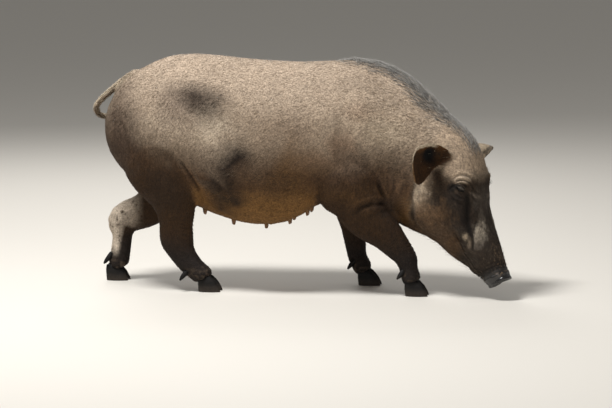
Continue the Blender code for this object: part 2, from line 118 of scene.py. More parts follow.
@dataclass(frozen=True)
class EarAxes:
    """How an ear stands, as places and directions of the head's own axes."""

    root: tuple[float, float, float]
    hole: tuple[float, float, float]
    out: tuple[float, float, float]  # from the root towards the tip
    edge: tuple[float, float, float]  # across it, towards its upper edge
    opening: tuple[float, float, float]  # the way its hollow faces

    def spots(self, head: np.ndarray) -> tuple[np.ndarray, np.ndarray]:
        """How far places lie out from the root, and how far up towards the edge."""
        away = head - np.array(self.root)
        return away @ np.array(self.out), away @ np.array(self.edge)


EARS = {
    Side.RIGHT: EarAxes((0.431, -0.092, 0.363), (0.412, -0.112, 0.373), (-0.370, -0.918, -0.142),
                        (-0.070, -0.124, 0.990), (0.928, -0.373, 0.019)),
    Side.LEFT: EarAxes((0.436, 0.072, 0.349), (0.432, 0.092, 0.373), (-0.258, 0.921, 0.293),
                       (0.966, 0.248, 0.072), (-0.006, 0.302, -0.953)),
}


def linear(code: str) -> tuple[float, float, float, float]:
    """Turn an sRGB hex colour into linear light.

    Args:
        code: six hex digits, with or without a leading #.

    Returns:
        Red, green, blue and an alpha of 1.
    """
    digits = code.lstrip("#")
    values = (int(digits[i:i + 2], 16) / 255 for i in (0, 2, 4))
    light = [v / 12.92 if v <= 0.04045 else ((v + 0.055) / 1.055) ** 2.4 for v in values]
    return (light[0], light[1], light[2], 1.0)


def tone(code: str) -> np.ndarray:
    """A hex colour in linear light, as a row of three."""
    return np.array(linear(code)[:3])


def step(value: np.ndarray, low: float, high: float) -> np.ndarray:
    """Rise smoothly from 0 at low to 1 at high; low may be the greater."""
    t = np.clip((value - low) / (high - low), 0.0, 1.0)
    return t * t * (3 - 2 * t)


def bell(value: np.ndarray, width: float) -> np.ndarray:
    """Fall smoothly from 1 at zero to 0 well past width on either side."""
    return np.exp(-(value / width) ** 2)


def unit(rows: np.ndarray) -> np.ndarray:
    """Rows scaled to a length of 1."""
    size = np.linalg.norm(rows, axis=-1, keepdims=True)
    return rows / np.maximum(size, 1e-12)


EYE_AXES = slit_axes()


def dot(a: np.ndarray, b: np.ndarray) -> np.ndarray:
    """The dot product of each row of a with that of b."""
    return (a * b).sum(axis=-1)


def far(points: np.ndarray, place: np.ndarray) -> np.ndarray:
    """How far each of the points is from a place."""
    return np.linalg.norm(points - place, axis=1)


def flipped(points: np.ndarray) -> np.ndarray:
    """Points mirrored to the other side of the animal."""
    return points * Side.LEFT.mirror


def to_body(points: np.ndarray) -> np.ndarray:
    """Places of the frame in the body's own axes."""
    return points - MIDDLE


def to_head(rows: np.ndarray, places: bool = True) -> np.ndarray:
    """Places or directions of the frame in the head's own axes, before it is turned.

    Args:
        rows: one place or direction each.
        places: False for directions, which turn but don't move.

    Returns:
        The same rows in the head's axes.
    """
    c, s = math.cos(HEAD_TURN), math.sin(HEAD_TURN)
    x, y, pivot = rows[:, 0], rows[:, 1], 0.0
    if places:
        x, y, pivot = x - MIDDLE[0] - HEAD_PIVOT_X, y - MIDDLE[1], HEAD_PIVOT_X
    return np.column_stack((x * c - y * s + pivot, x * s + y * c, rows[:, 2]))


def from_head(rows: np.ndarray, places: bool = True) -> np.ndarray:
    """Places or directions of the head's own axes, as they are in the frame.

    Args:
        rows: one place or direction each.
        places: False for directions, which turn but don't move.

    Returns:
        The same rows in the frame's axes.
    """
    rows = np.atleast_2d(np.asarray(rows, float))
    c, s = math.cos(HEAD_TURN), math.sin(HEAD_TURN)
    pivot = HEAD_PIVOT_X if places else 0.0
    x, y = rows[:, 0] - pivot, rows[:, 1]
    turned = np.column_stack((x * c + y * s + pivot, -x * s + y * c, rows[:, 2]))
    return turned + MIDDLE if places else turned


def behind_disc(head: np.ndarray) -> np.ndarray:
    """How far each place of the head's axes lies behind the snout's disc."""
    return -(head - DISC_PLACE) @ DISC_FACING


def eye_axes(local: np.ndarray) -> tuple[np.ndarray, np.ndarray, np.ndarray]:
    """Measure places from the right eye.

    Args:
        local: places in the head's axes, mirrored if they belong to the left eye.

    Returns:
        How far each is along the slit, above it, and out along the gaze.
    """
    slit, upwards, gaze = EYE_AXES
    away = local - EYE_PLACE
    return away @ slit, away @ upwards, away @ gaze


def eye_pose(side: Side) -> tuple[np.ndarray, np.ndarray]:
    """An eye's middle and gaze in the frame's axes."""
    centre = from_head(EYE_PLACE * side.mirror)[0]
    return centre, from_head(EYE_AXES[2] * side.mirror, places=False)[0]


def deselect() -> None:
    """Leave nothing selected and object mode on."""
    if bpy.context.object and bpy.context.object.mode != "OBJECT":
        bpy.ops.object.mode_set(mode="OBJECT")
    bpy.ops.object.select_all(action="DESELECT")


def pick(*objs: bpy.types.Object) -> None:
    """Select some objects and no others, and make the first of them active."""
    deselect()
    for obj in objs:
        obj.select_set(True)
    bpy.context.view_layer.objects.active = objs[0]


def smooth(obj: bpy.types.Object) -> None:
    """Shade an object smoothly."""
    pick(obj)
    bpy.ops.object.shade_smooth()


@contextmanager
def editing(obj: bpy.types.Object) -> Iterator[None]:
    """Hold an object in edit mode for a while, with all of it selected."""
    pick(obj)
    bpy.ops.object.mode_set(mode="EDIT")
    bpy.ops.mesh.select_all(action="SELECT")
    yield
    bpy.ops.object.mode_set(mode="OBJECT")


def fetch(rows: object, name: str, width: int = 3, kind: type = np.float32) -> np.ndarray:
    """Read one property of everything in one of Blender's collections.

    Args:
        rows: the collection.
        name: the property's name.
        width: how many numbers it has.
        kind: the numbers' type.

    Returns:
        One row for each thing.
    """
    flat = np.empty(len(rows) * width, kind)
    rows.foreach_get(name, flat)
    return flat.reshape(-1, width)


def apply_modifier(obj: bpy.types.Object, kind: str, **settings: object) -> None:
    """Add a modifier with its settings and apply it.

    Args:
        obj: the object to change.
        kind: Blender's name for the modifier's type.
        settings: the modifier's values.
    """
    modifier = obj.modifiers.new(kind.lower(), kind)
    for name, value in settings.items():
        setattr(modifier, name, value)
    pick(obj)
    bpy.ops.object.modifier_apply(modifier=modifier.name)


class Grain:
    """Smooth random values that depend only on place."""

    cells = 8192  # a power of two
    primes = (73856093, 19349663, 83492791)  # large ones, which scatter the cells of space

    def __init__(self, seed: int) -> None:
        """Draw the values that sit on the lattice."""
        self.table = np.random.default_rng(seed).random(self.cells)

    def at(self, points: np.ndarray, size: float) -> np.ndarray:
        """Read the values at some places.

        Args:
            points: places, one row each.
            size: the distance between lattice points.

        Returns:
            One value from 0 to 1 for each place.
        """
        base = np.floor(points / size).astype(np.int64)
        f = points / size - base
        f = f * f * (3 - 2 * f)
        total = np.zeros(len(points))
        for corner in itertools.product((0, 1), repeat=3):
            keys = [(base[:, k] + corner[k]) * prime for k, prime in enumerate(self.primes)]
            shares = [f[:, k] if corner[k] else 1 - f[:, k] for k in range(3)]
            key = (keys[0] ^ keys[1] ^ keys[2]) & (self.cells - 1)
            total += self.table[key] * (shares[0] * shares[1]) * shares[2]
        return total

    def rough(self, points: np.ndarray, size: float, steps: int = 3) -> np.ndarray:
        """Values from -1 to 1 with finer ones added on top, halved each time."""
        total = np.zeros(len(points))
        for i in range(steps):
            total += (self.at(points + 0.37 * i, size / 2 ** i) * 2 - 1) / 2 ** i
        return total / 1.5


class Mesher:
    """Mesh chores that several pieces share."""

    stride = 0.6  # how far one step of relax moves a vertex that is free

    @staticmethod
    def points(mesh: bpy.types.Mesh) -> np.ndarray:
        """The places of a mesh's vertices, one row each."""
        return fetch(mesh.vertices, "co").astype(np.float64)

    @staticmethod
    def put(mesh: bpy.types.Mesh, points: np.ndarray) -> None:
        """Move a mesh's vertices to the given places."""
        mesh.vertices.foreach_set("co", points.astype(np.float32).ravel())
        mesh.update()

    @staticmethod
    def normals(mesh: bpy.types.Mesh) -> np.ndarray:
        """The directions that a mesh's vertices face, one row each."""
        return fetch(mesh.vertex_normals, "vector").astype(np.float64)

    @classmethod
    def surface(cls, mesh: bpy.types.Mesh) -> tuple[np.ndarray, np.ndarray]:
        """The places of a mesh's vertices and the directions that they face."""
        return cls.points(mesh), cls.normals(mesh)

    @staticmethod
    def edges(mesh: bpy.types.Mesh) -> np.ndarray:
        """The pairs of vertices that a mesh's edges join."""
        return fetch(mesh.edges, "vertices", 2, np.int32)

    @staticmethod
    def triangles(mesh: bpy.types.Mesh) -> np.ndarray:
        """The corners of a mesh's triangles, one row of three each."""
        mesh.calc_loop_triangles()
        return fetch(mesh.loop_triangles, "vertices", 3, np.int32)

    @staticmethod
    def copy_node(name: str) -> bpy.types.Object:
        """Copy a solid of the frame, with its loose triangles merged.

        Args:
            name: the node's name.

        Returns:
            The new object, linked to the scene.
        """
        copied = bpy.data.objects.new("copy_" + name, bpy.data.objects[name].data.copy())
        bpy.context.scene.collection.objects.link(copied)
        with editing(copied):
            bpy.ops.mesh.remove_doubles(threshold=1e-5)
        copied.data.materials.clear()
        return copied

    @staticmethod
    def make(name: str, points: np.ndarray, triangles: np.ndarray) -> bpy.types.Object:
        """Make an object from rows of places and rows of three corners.

        Args:
            name: the new object's name.
            points: one place a row.
            triangles: one triangle a row, as indices of points.

        Returns:
            The new object, linked to the scene.
        """
        mesh = bpy.data.meshes.new(name)
        mesh.vertices.add(len(points))
        mesh.vertices.foreach_set("co", points.astype(np.float32).ravel())
        mesh.loops.add(triangles.size)
        mesh.loops.foreach_set("vertex_index", triangles.astype(np.int32).ravel())
        mesh.polygons.add(len(triangles))
        mesh.polygons.foreach_set("loop_start", np.arange(0, triangles.size, 3, dtype=np.int32))
        mesh.polygons.foreach_set("use_smooth", np.ones(len(triangles), bool))
        mesh.update(calc_edges=True)
        obj = bpy.data.objects.new(name, mesh)
        bpy.context.scene.collection.objects.link(obj)
        return obj

    @staticmethod
    def paint(mesh: bpy.types.Mesh, name: str, colours: np.ndarray) -> None:
        """Store a colour for each vertex under a name."""
        layer = mesh.color_attributes.new(name, "FLOAT_COLOR", "POINT")
        rows = np.ones((len(mesh.vertices), 4), np.float32)
        rows[:, :3] = colours
        layer.data.foreach_set("color", rows.ravel())

    @staticmethod
    def store(mesh: bpy.types.Mesh, name: str, values: np.ndarray) -> None:
        """Store a number for each vertex under a name."""
        layer = mesh.attributes.new(name, "FLOAT", "POINT")
        layer.data.foreach_set("value", values.astype(np.float32))

    @staticmethod
    def read(mesh: bpy.types.Mesh, name: str) -> np.ndarray:
        """The numbers that a mesh's vertices have under a name."""
        return fetch(mesh.attributes[name].data, "value", 1).ravel().astype(np.float64)

    @staticmethod
    def neighbours(edges: np.ndarray, count: int) -> tuple[np.ndarray, np.ndarray, np.ndarray]:
        """Sort the joined vertices for quick averages.

        Args:
            edges: the pairs of vertices that are joined.
            count: how many vertices there are.

        Returns:
            The neighbours, where each vertex's own begin, and how many it has.
        """
        ends = np.concatenate((edges[:, 0], edges[:, 1]))
        others = np.concatenate((edges[:, 1], edges[:, 0]))
        others = others[np.argsort(ends, kind="stable")]
        degree = np.bincount(ends, minlength=count)
        starts = np.concatenate(([0], np.cumsum(degree)[:-1]))
        return others, starts, degree[:, None]

    @classmethod
    def relax(cls, rows: np.ndarray, edges: np.ndarray, amount: np.ndarray,
              steps: int) -> np.ndarray:
        """Draw each row towards the mean of its neighbours, step by step.

        Args:
            rows: places, or other values, one row for each vertex.
            edges: the pairs of vertices that are joined.
            amount: how strongly each one moves, 0 to 1.
            steps: how many steps are taken.

        Returns:
            The evened rows.
        """
        others, starts, degree = cls.neighbours(edges, len(rows))
        pull = cls.stride * amount[:, None]
        for _ in range(steps):
            mean = np.add.reduceat(rows[others], starts, axis=0) / degree
            rows = rows + pull * (mean - rows)
        return rows

    @staticmethod
    def refine(obj: bpy.types.Object, chosen: np.ndarray) -> None:
        """Cut the faces whose corners are all chosen into four.

        Args:
            obj: the object to change.
            chosen: whether each vertex is chosen.
        """
        with editing(obj):
            bpy.ops.mesh.select_mode(type="VERT")
            bpy.ops.mesh.select_all(action="DESELECT")
        obj.data.vertices.foreach_set("select", chosen)
        bpy.ops.object.mode_set(mode="EDIT")
        bpy.ops.mesh.select_mode(type="FACE")
        bpy.ops.mesh.subdivide(number_cuts=1)
        bpy.ops.object.mode_set(mode="OBJECT")


@dataclass(frozen=True)
class Fold:
    """A crease of the skin along a line, with a roll beside it.

    The line runs through places on the surface. The roll lies on the line's left, seen from
    outside and going along it, when roll_side is 1, on its right when it is -1, and on both
    when it is 0.
    """

    line: tuple[tuple[float, float, float], ...]
    depth: float
    width: float
    roll: float = 0.0
    roll_side: int = 0
    taper: float = 0.25
    reach: float = 0.022

    def height(self, points: np.ndarray, normals: np.ndarray) -> np.ndarray:
        """How far the fold lifts each place along its normal.

        Args:
            points: places, one row each, in the line's own axes.
            normals: the directions that they face, in the same axes.

        Returns:
            One height for each place, negative in the crease.
        """
        line = np.array(self.line)
        span = self.width * 5
        near = ((points > line.min(0) - span) & (points < line.max(0) + span)).all(axis=1)
        result = np.zeros(len(points))
        if not near.any():
            return result
        p, n = points[near], normals[near]
        best = np.full(len(p), FAR)
        along = np.zeros(len(p))
        left = np.zeros(len(p))
        total = 0.0
        for a, b in zip(line[:-1], line[1:]):
            ab = b - a
            length = np.linalg.norm(ab)
            t = np.clip((p - a) @ ab / length ** 2, 0, 1)
            v = p - (a + t[:, None] * ab)
            rise = dot(v, n)
            flat = np.sqrt(np.maximum(dot(v, v) - rise ** 2, 0))
            flat = np.where(np.abs(rise) < self.reach, flat, FAR)
            closer = flat < best
            best = np.where(closer, flat, best)
            along = np.where(closer, total + t * length, along)
            left = np.where(closer, np.sign(dot(np.cross(n, ab / length), v)), left)
            total += length
        end = max(self.taper * total, 1e-6)
        fade = step(along, -0.3 * end, end) * step(total - along, -0.3 * end, end)
        beside = bell(best - 2.0 * self.width, 1.25 * self.width)
        if self.roll_side:
            beside = beside * step(left * self.roll_side * best, -0.5 * self.width, self.width)
        result[near] = fade * (self.roll * beside - self.depth * bell(best, self.width))
        return result


@dataclass(frozen=True)
class Form:
    """A soft swelling or hollow, such as a muscle or a joint."""

    place: tuple[float, float, float]
    size: tuple[float, float, float]
    height: float

    def lift(self, points: np.ndarray) -> np.ndarray:
        """How far it lifts each place along its normal."""
        away = (points - np.array(self.place)) / np.array(self.size)
        return self.height * np.exp(-dot(away, away))


# Creases of the right side of the head, in the head's axes; the left has the same.
HEAD_FOLDS = (
    # over the eye: the lid's crease and the arcs of the brow
    Fold(((0.466, -0.0775, 0.2935), (0.4694, -0.0761, 0.296), (0.4775, -0.0725, 0.2992),
          (0.4862, -0.0673, 0.2969), (0.4923, -0.0626, 0.2911)), 0.0026, 0.0022, 0.0014, 1, 0.15),
    Fold(((0.468, -0.0761, 0.3042), (0.4745, -0.0724, 0.3081), (0.4834, -0.0676, 0.3089),
          (0.4914, -0.061, 0.3062), (0.4979, -0.0514, 0.298)), 0.0026, 0.0024, 0.002, 0, 0.15),
    Fold(((0.465, -0.0765, 0.3135), (0.472, -0.073, 0.3195), (0.4785, -0.0688, 0.3215),
          (0.487, -0.0627, 0.32), (0.4945, -0.0541, 0.316), (0.5, -0.044, 0.308)),
         0.002, 0.0036, 0.0012, 0, 0.2),
    # under the eye
    Fold(((0.4593, -0.0812, 0.2835), (0.4672, -0.0798, 0.2711), (0.4791, -0.0752, 0.2637),
          (0.4865, -0.0674, 0.2608)), 0.0022, 0.003, 0.0012),
    Fold(((0.455, -0.0815, 0.279), (0.462, -0.08, 0.262), (0.475, -0.076, 0.251),
          (0.486, -0.067, 0.248)), 0.0014, 0.0034, 0.0008),
    # from the eye's back corner
    Fold(((0.464, -0.0785, 0.294), (0.458, -0.081, 0.29), (0.452, -0.083, 0.283)),
         0.002, 0.0028, 0.001),
    # the groove that the tears run down
    Fold(((0.4906, -0.0645, 0.276), (0.4925, -0.0598, 0.2603), (0.4923, -0.0591, 0.2424),
          (0.4913, -0.0596, 0.222), (0.4929, -0.0569, 0.1963), (0.4955, -0.0531, 0.1679)),
         0.0024, 0.0062, 0.0008, 0, 0.12),
    # between the eye and the bridge of the nose
    Fold(((0.4992, -0.048, 0.296), (0.4987, -0.048, 0.2825), (0.4997, -0.048, 0.2648),
          (0.5007, -0.048, 0.2495)), 0.0014, 0.0028, 0.0008, -1),
    Fold(((0.495, -0.0545, 0.301), (0.4986, -0.0471, 0.2915), (0.5024, -0.0377, 0.2785),
          (0.5066, -0.0225, 0.268)), 0.0026, 0.0026, 0.0016, 0, 0.4),
    Fold(((0.4975, -0.05, 0.286), (0.5018, -0.04, 0.272), (0.5065, -0.027, 0.261)),
         0.0022, 0.0026, 0.0012, 0, 0.4),
    Fold(((0.4985, -0.048, 0.27), (0.501, -0.043, 0.26), (0.5065, -0.031, 0.25)),
         0.0014, 0.0028, 0.0008, 0, 0.4),
    # the groove along the nose, and the one across the cheek's front
    Fold(((0.5029, -0.0511, 0.178), (0.5033, -0.0487, 0.15), (0.5021, -0.0462, 0.1292)),
         0.003, 0.0038, 0.0014),
    Fold(((0.512, -0.042, 0.208), (0.5075, -0.048, 0.19), (0.504, -0.0505, 0.176)),
         0.0016, 0.005, 0.0008),
    # the mouth and its corner
    Fold(((0.462, -0.062, 0.166), (0.468, -0.057, 0.152), (0.473, -0.051, 0.138),
          (0.481, -0.044, 0.115), (0.492, -0.04, 0.098), (0.503, -0.037, 0.08),
          (0.517, -0.033, 0.066), (0.53, -0.027, 0.054), (0.538, -0.014, 0.047),
          (0.541, 0.0, 0.045)), 0.0034, 0.0018, 0.0014, 0, 0.06),
    Fold(((0.455, -0.069, 0.178), (0.462, -0.065, 0.163), (0.462, -0.06, 0.148)),
         0.0014, 0.004, 0.001),
    # behind the jaw
    Fold(((0.365, -0.094, 0.3), (0.355, -0.095, 0.279), (0.349, -0.09, 0.252),
          (0.346, -0.082, 0.222), (0.35, -0.062, 0.186)), 0.0036, 0.008, 0.0016),
    Fold(((0.388, -0.096, 0.322), (0.377, -0.096, 0.3), (0.371, -0.096, 0.276),
          (0.371, -0.092, 0.244)), 0.0018, 0.006, 0.001),
)

# Bony and fleshy masses of the right side of the head, in its own axes.
HEAD_FORMS = (
    Form((0.49, -0.064, 0.318), (0.02, 0.016, 0.012), 0.0026),
    Form((0.455, -0.078, 0.262), (0.016, 0.014, 0.016), 0.0016),
    Form((0.44, -0.084, 0.3), (0.014, 0.016, 0.022), -0.002),
    Form((0.48, -0.066, 0.205), (0.012, 0.016, 0.04), 0.0022),
    Form((0.512, -0.044, 0.185), (0.01, 0.012, 0.035), 0.0016),
    Form((0.488, -0.052, 0.15), (0.01, 0.012, 0.014), 0.0026),
    Form((0.385, -0.092, 0.262), (0.026, 0.02, 0.03), 0.003),
)

# Creases of the body, in its own axes.
BODY_FOLDS = (
    Fold(((-0.292, -0.16, 0.345), (-0.268, -0.152, 0.303), (-0.253, -0.142, 0.27),
          (-0.246, -0.128, 0.244)), 0.0058, 0.0046, 0.0026, 0, 0.3, 0.05),
    Fold(((-0.262, -0.158, 0.335), (-0.248, -0.152, 0.303), (-0.238, -0.142, 0.275)),
         0.0016, 0.005, 0.001, 0, 0.4, 0.05),
    Fold(((-0.44, -0.04, 0.555), (-0.47, -0.038, 0.53), (-0.49, -0.036, 0.495),
          (-0.5, -0.032, 0.45), (-0.503, -0.026, 0.4)), 0.003, 0.0085, 0.0008, 0, 0.5, 0.05),
    Fold(((-0.44, 0.04, 0.555), (-0.47, 0.038, 0.53), (-0.49, 0.036, 0.495),
          (-0.5, 0.032, 0.45), (-0.503, 0.026, 0.4)), 0.003, 0.0085, 0.0008, 0, 0.5, 0.05),
    Fold(((0.158, -0.135, 0.214), (0.176, -0.137, 0.231), (0.199, -0.13, 0.24),
          (0.216, -0.098, 0.236), (0.224, -0.066, 0.229)), 0.0034, 0.0062, 0.002, 0, 0.4),
    Fold(((0.228, -0.062, 0.232), (0.226, -0.096, 0.262), (0.212, -0.118, 0.3)),
         0.0044, 0.007, 0.0024),
    Fold(((0.236, -0.066, 0.236), (0.243, -0.094, 0.268), (0.236, -0.112, 0.312)),
         0.004, 0.0064, 0.0024),
    Fold(((0.246, -0.07, 0.24), (0.26, -0.094, 0.272), (0.262, -0.106, 0.318)),
         0.0032, 0.006, 0.002),
    Fold(((0.262, -0.066, 0.232), (0.28, -0.086, 0.262), (0.288, -0.1, 0.302)),
         0.0018, 0.006, 0.0012),
    Fold(((0.122, -0.148, 0.48), (0.112, -0.16, 0.4), (0.108, -0.158, 0.33),
          (0.118, -0.146, 0.27)), 0.0045, 0.022, 0.002),
    Fold(((-0.228, 0.16, 0.365), (-0.25, 0.15, 0.33), (-0.3, 0.136, 0.29),
          (-0.33, 0.12, 0.262)), 0.006, 0.013, 0.003),
    Fold(((0.05, 0.135, 0.24), (0.075, 0.137, 0.26), (0.11, 0.13, 0.272),
          (0.15, 0.12, 0.262)), 0.004, 0.007, 0.0022),
    Fold(((0.205, 0.062, 0.232), (0.2, 0.096, 0.262), (0.188, 0.118, 0.3)),
         0.0034, 0.007, 0.002),
    Fold(((0.222, 0.066, 0.236), (0.226, 0.094, 0.268), (0.218, 0.112, 0.312)),
         0.0026, 0.0064, 0.0018),
    Fold(((0.092, 0.148, 0.48), (0.078, 0.16, 0.4), (0.07, 0.158, 0.33),
          (0.072, 0.146, 0.28)), 0.0045, 0.022, 0.002),
)

# Muscles and joints, in the body's own axes.
BODY_FORMS = (
    Form((0.19, -0.14, 0.4), (0.06, 0.08, 0.11), 0.004),
    Form((0.15, -0.15, 0.29), (0.05, 0.06, 0.055), 0.005),
    Form((0.16, 0.14, 0.4), (0.06, 0.08, 0.11), 0.004),
    Form((0.12, 0.15, 0.29), (0.05, 0.06, 0.055), 0.005),
    Form((-0.3, -0.12, 0.5), (0.05, 0.06, 0.04), 0.004),
    Form((-0.3, 0.12, 0.5), (0.05, 0.06, 0.04), 0.004),
    Form((-0.19, -0.16, 0.43), (0.05, 0.08, 0.06), -0.004),
    Form((-0.19, 0.16, 0.43), (0.05, 0.08, 0.06), -0.004),
)


@dataclass
class Skin:
    """The one skin over all flesh, fused from its solids and sculpted."""

    voxel: float = 0.0026
    swell: float = 0.0006
    budget: int = 186_000
    depth: dict[Region, float] = field(default_factory=lambda: {
        Region.TRUNK: 0.0020, Region.NECK: 0.0022, Region.HEAD: 0.0010,
        Region.SNOUT: 0.0003, Region.TAIL: 0.0008, Region.LEG: 0.0012, Region.EAR: 0.0008})
    rounds: int = 70  # of evening
    soft_borders: int = 14  # rounds of evening of the borders between regions
    drawn_in: float = 0.0006  # how far evening draws a round form in, which counts as depth
    broad: float = 0.009  # from this width a fold is a valley, which gets little painted shade on the hide
    broad_shade: float = 0.15
    eye_rounds: tuple[float, float] = (0.034, 0.021)  # faces this near an eye are cut finer
    snout_round: float = 0.052
    evenness: dict[Region, float] = field(default_factory=lambda: {
        Region.TRUNK: 1.0, Region.NECK: 0.8, Region.HEAD: 0.22,
        Region.SNOUT: 0.06, Region.TAIL: 0.05, Region.LEG: 0.14, Region.EAR: 0.03})
    obj: bpy.types.Object | None = None
    share: dict[Region, np.ndarray] = field(default_factory=dict)
    crease: np.ndarray | None = None

    def fuse(self) -> None:
        """Close the solids of flesh and the eyes into one fine surface."""
        names = [name for region in Region for name in region.value]
        copies = [Mesher.copy_node(name) for name in (*names, "eye_right", "eye_left")]
        for copied in copies:
            mesh = copied.data
            Mesher.put(mesh, Mesher.points(mesh) + Mesher.normals(mesh) * self.swell)
        pick(*copies)
        bpy.ops.object.join()
        self.obj = bpy.context.object
        self.obj.name = "skin"
        self.obj.data.name = "skin"
        apply_modifier(self.obj, "REMESH", mode="VOXEL", voxel_size=self.voxel)

    def know_regions(self) -> None:
        """Find which solid each vertex came from, with soft borders between them."""
        corners, triangles, owners = [], [], []
        start = 0
        for region in Region:
            for name in region.value:
                mesh = bpy.data.objects[name].data
                points = Mesher.points(mesh)
                faces = Mesher.triangles(mesh) + start
                start += len(points)
                corners.append(points)
                triangles.append(faces)
                owners.append(np.full(len(faces), list(Region).index(region)))
        tree = BVHTree.FromPolygons(np.concatenate(corners).tolist(),
                                    np.concatenate(triangles).tolist())
        owners = np.concatenate(owners)
        mesh = self.obj.data
        points = Mesher.points(mesh)
        found = np.array([tree.find_nearest(p)[2] for p in points.tolist()])
        owner = owners[found]
        masks = np.stack([(owner == i).astype(float) for i in range(len(Region))], axis=1)
        masks = Mesher.relax(masks, Mesher.edges(mesh), np.ones(len(points)),
                             self.soft_borders)
        for i, region in enumerate(Region):
            Mesher.store(mesh, region.name, masks[:, i])
        self.read_regions()

    def read_regions(self) -> None:
        """Read the shares of the regions back from the mesh."""
        for region in Region:
            self.share[region] = Mesher.read(self.obj.data, region.name)

    def mixed(self, values: dict[Region, float]) -> np.ndarray:
        """One value for each vertex, blended from those of the regions."""
        return sum(self.share[region] * value for region, value in values.items())

    def settle(self) -> None:
        """Even out the facets and sink the skin by the coat's depth."""
        mesh = self.obj.data
        points = Mesher.points(mesh)
        points = Mesher.relax(points, Mesher.edges(mesh), self.mixed(self.evenness), self.rounds)
        Mesher.put(mesh, points)
        sink = self.mixed(self.depth) - self.drawn_in
        Mesher.put(mesh, points - Mesher.normals(mesh) * sink[:, None])

    def refine(self) -> None:
        """Give the lids, lips, snout and teats finer faces."""
        for turn, reach in enumerate(self.eye_rounds):
            points = Mesher.points(self.obj.data)
            head = to_head(points)
            chosen = self.teats(to_body(points), 0.0060) > 0.08
            for side in Side:
                chosen |= far(head, EYE_PLACE * side.mirror) < reach
            if turn == 0:
                chosen |= far(head, DISC_PLACE) < self.snout_round
            Mesher.refine(self.obj, chosen)
        self.read_regions()

    def shape(self) -> None:
        """Sculpt forms, folds, lips, snout, nostrils and lids."""
        mesh = self.obj.data
        points, normals = Mesher.surface(mesh)
        body, head = to_body(points), to_head(points)
        head_normals = to_head(normals, places=False)
        rise = np.zeros(len(points))
        broad = np.zeros(len(points))
        for fold in BODY_FOLDS:
            part = rise if fold.width < self.broad else broad
            part += fold.height(body, normals)
        for fold in HEAD_FOLDS:
            rise += fold.height(head, head_normals)
            rise += fold.height(flipped(head), flipped(head_normals))
        rise += self.joint_wrinkles(body, normals)
        rise += self.snout_wrinkles(head, head_normals)
        # the folds' depth, which the markings turn into painted shade and dirt
        Mesher.store(mesh, "crease", -rise - self.broad_shade * broad)
        rise += broad
        for form in BODY_FORMS:
            rise += form.lift(body)
        for form in HEAD_FORMS:
            rise += form.lift(head) + form.lift(flipped(head))
        rise += self.loose_skin(points)
        points = points + normals * rise[:, None]
        points = self.nubs(points)
        points = self.snout_disc(points)
        points = self.lids(points)
        Mesher.put(mesh, points)

    def loose_skin(self, points: np.ndarray) -> np.ndarray:
        """Slight unevenness that keeps broad stretches from looking turned on a lathe."""
        grain = Grain(5)
        body = self.share[Region.TRUNK] + self.share[Region.NECK]
        return body * (0.0011 * grain.rough(points, 0.045) + 0.0004 * grain.rough(points, 0.011))

    @staticmethod
    def teats(body: np.ndarray, radius: float) -> np.ndarray:
        """How near each place is to a teat, 1 on it and 0 far off."""
        near = np.zeros(len(body))
        for x, y in TEATS:
            away = np.hypot(body[:, 0] - x, body[:, 1] - y)
            near += bell(away, radius) * (body[:, 2] < TEAT_TOP)
        return np.minimum(near, 1.0)

    def nubs(self, points: np.ndarray) -> np.ndarray:
        """Draw the teats out of the belly as rounded nubs."""
        body = to_body(points)
        push = np.zeros(len(body))
        for x, y in TEATS:
            across, aside = body[:, 0] - x, body[:, 1] - y
            away = np.where(body[:, 2] < TEAT_TOP, np.hypot(across, aside), 1.0)
            # the skin within is levelled to the plane of the ring round it
            ring = (np.abs(away - 0.0165) < 0.0035) & (self.share[Region.TRUNK] > 0.7)
            ring &= np.abs(body[:, 2] - np.median(body[ring, 2])) < 0.012
            plane = np.column_stack((np.ones(len(body)), across, aside))
            level = plane @ np.linalg.lstsq(plane[ring], body[ring, 2], rcond=None)[0]
            push += np.clip(body[:, 2] - level, -0.02, 0.02) * step(away, 0.0150, 0.0100)
            # and the nub stands on it: a stem, a soft foot and a round end
            push += 0.0080 * step(away, 0.0066, 0.0034) + 0.0014 * bell(away, 0.012)
            push += 0.0048 * np.sqrt(np.maximum(1 - (away / 0.0056) ** 2, 0.0))
        return points + push[:, None] * np.array((0.0, 0.0, -1.0))

    def joint_wrinkles(self, body: np.ndarray, normals: np.ndarray) -> np.ndarray:
        """Rings of creased skin at the wrists, hocks and pasterns."""
        grain = Grain(8)
        z = body[:, 2] + 0.006 * grain.rough(body, 0.03, 2)
        ring = np.cos(z * (RING / 0.0095)) * (0.55 + 0.6 * grain.rough(body, 0.018, 2))
        fore = step(body[:, 0], 0.06, 0.10)
        wrist = bell(z - 0.125, 0.030) * fore * (0.35 + 0.65 * step(normals[:, 0], -0.2, 0.8))
        hock = bell(z - 0.175, 0.035) * (1 - fore) * step(normals[:, 0], -0.1, 0.7)
        pastern = bell(z - 0.060, 0.018) * 0.6
        thigh = 0.35 * bell(z - 0.250, 0.05) * (1 - fore)
        return self.share[Region.LEG] * 0.0009 * ring * (wrist + hock + pastern + thigh)

    def snout_wrinkles(self, head: np.ndarray, normals: np.ndarray) -> np.ndarray:
        """Creases across the muzzle behind the disc."""
        grain = Grain(9)
        back = behind_disc(head)
        back = back + 0.0035 * grain.rough(head, 0.02, 2)
        groove = -0.0026 * bell(back - 0.0085, 0.0042)
        ripple = 0.0008 * np.cos(back * (RING / 0.0092)) * bell(back - 0.034, 0.022)
        facing = step(normals @ DISC_FACING, 0.75, 0.35)
        return (self.share[Region.SNOUT] + self.share[Region.HEAD]) * facing * (groove + ripple)

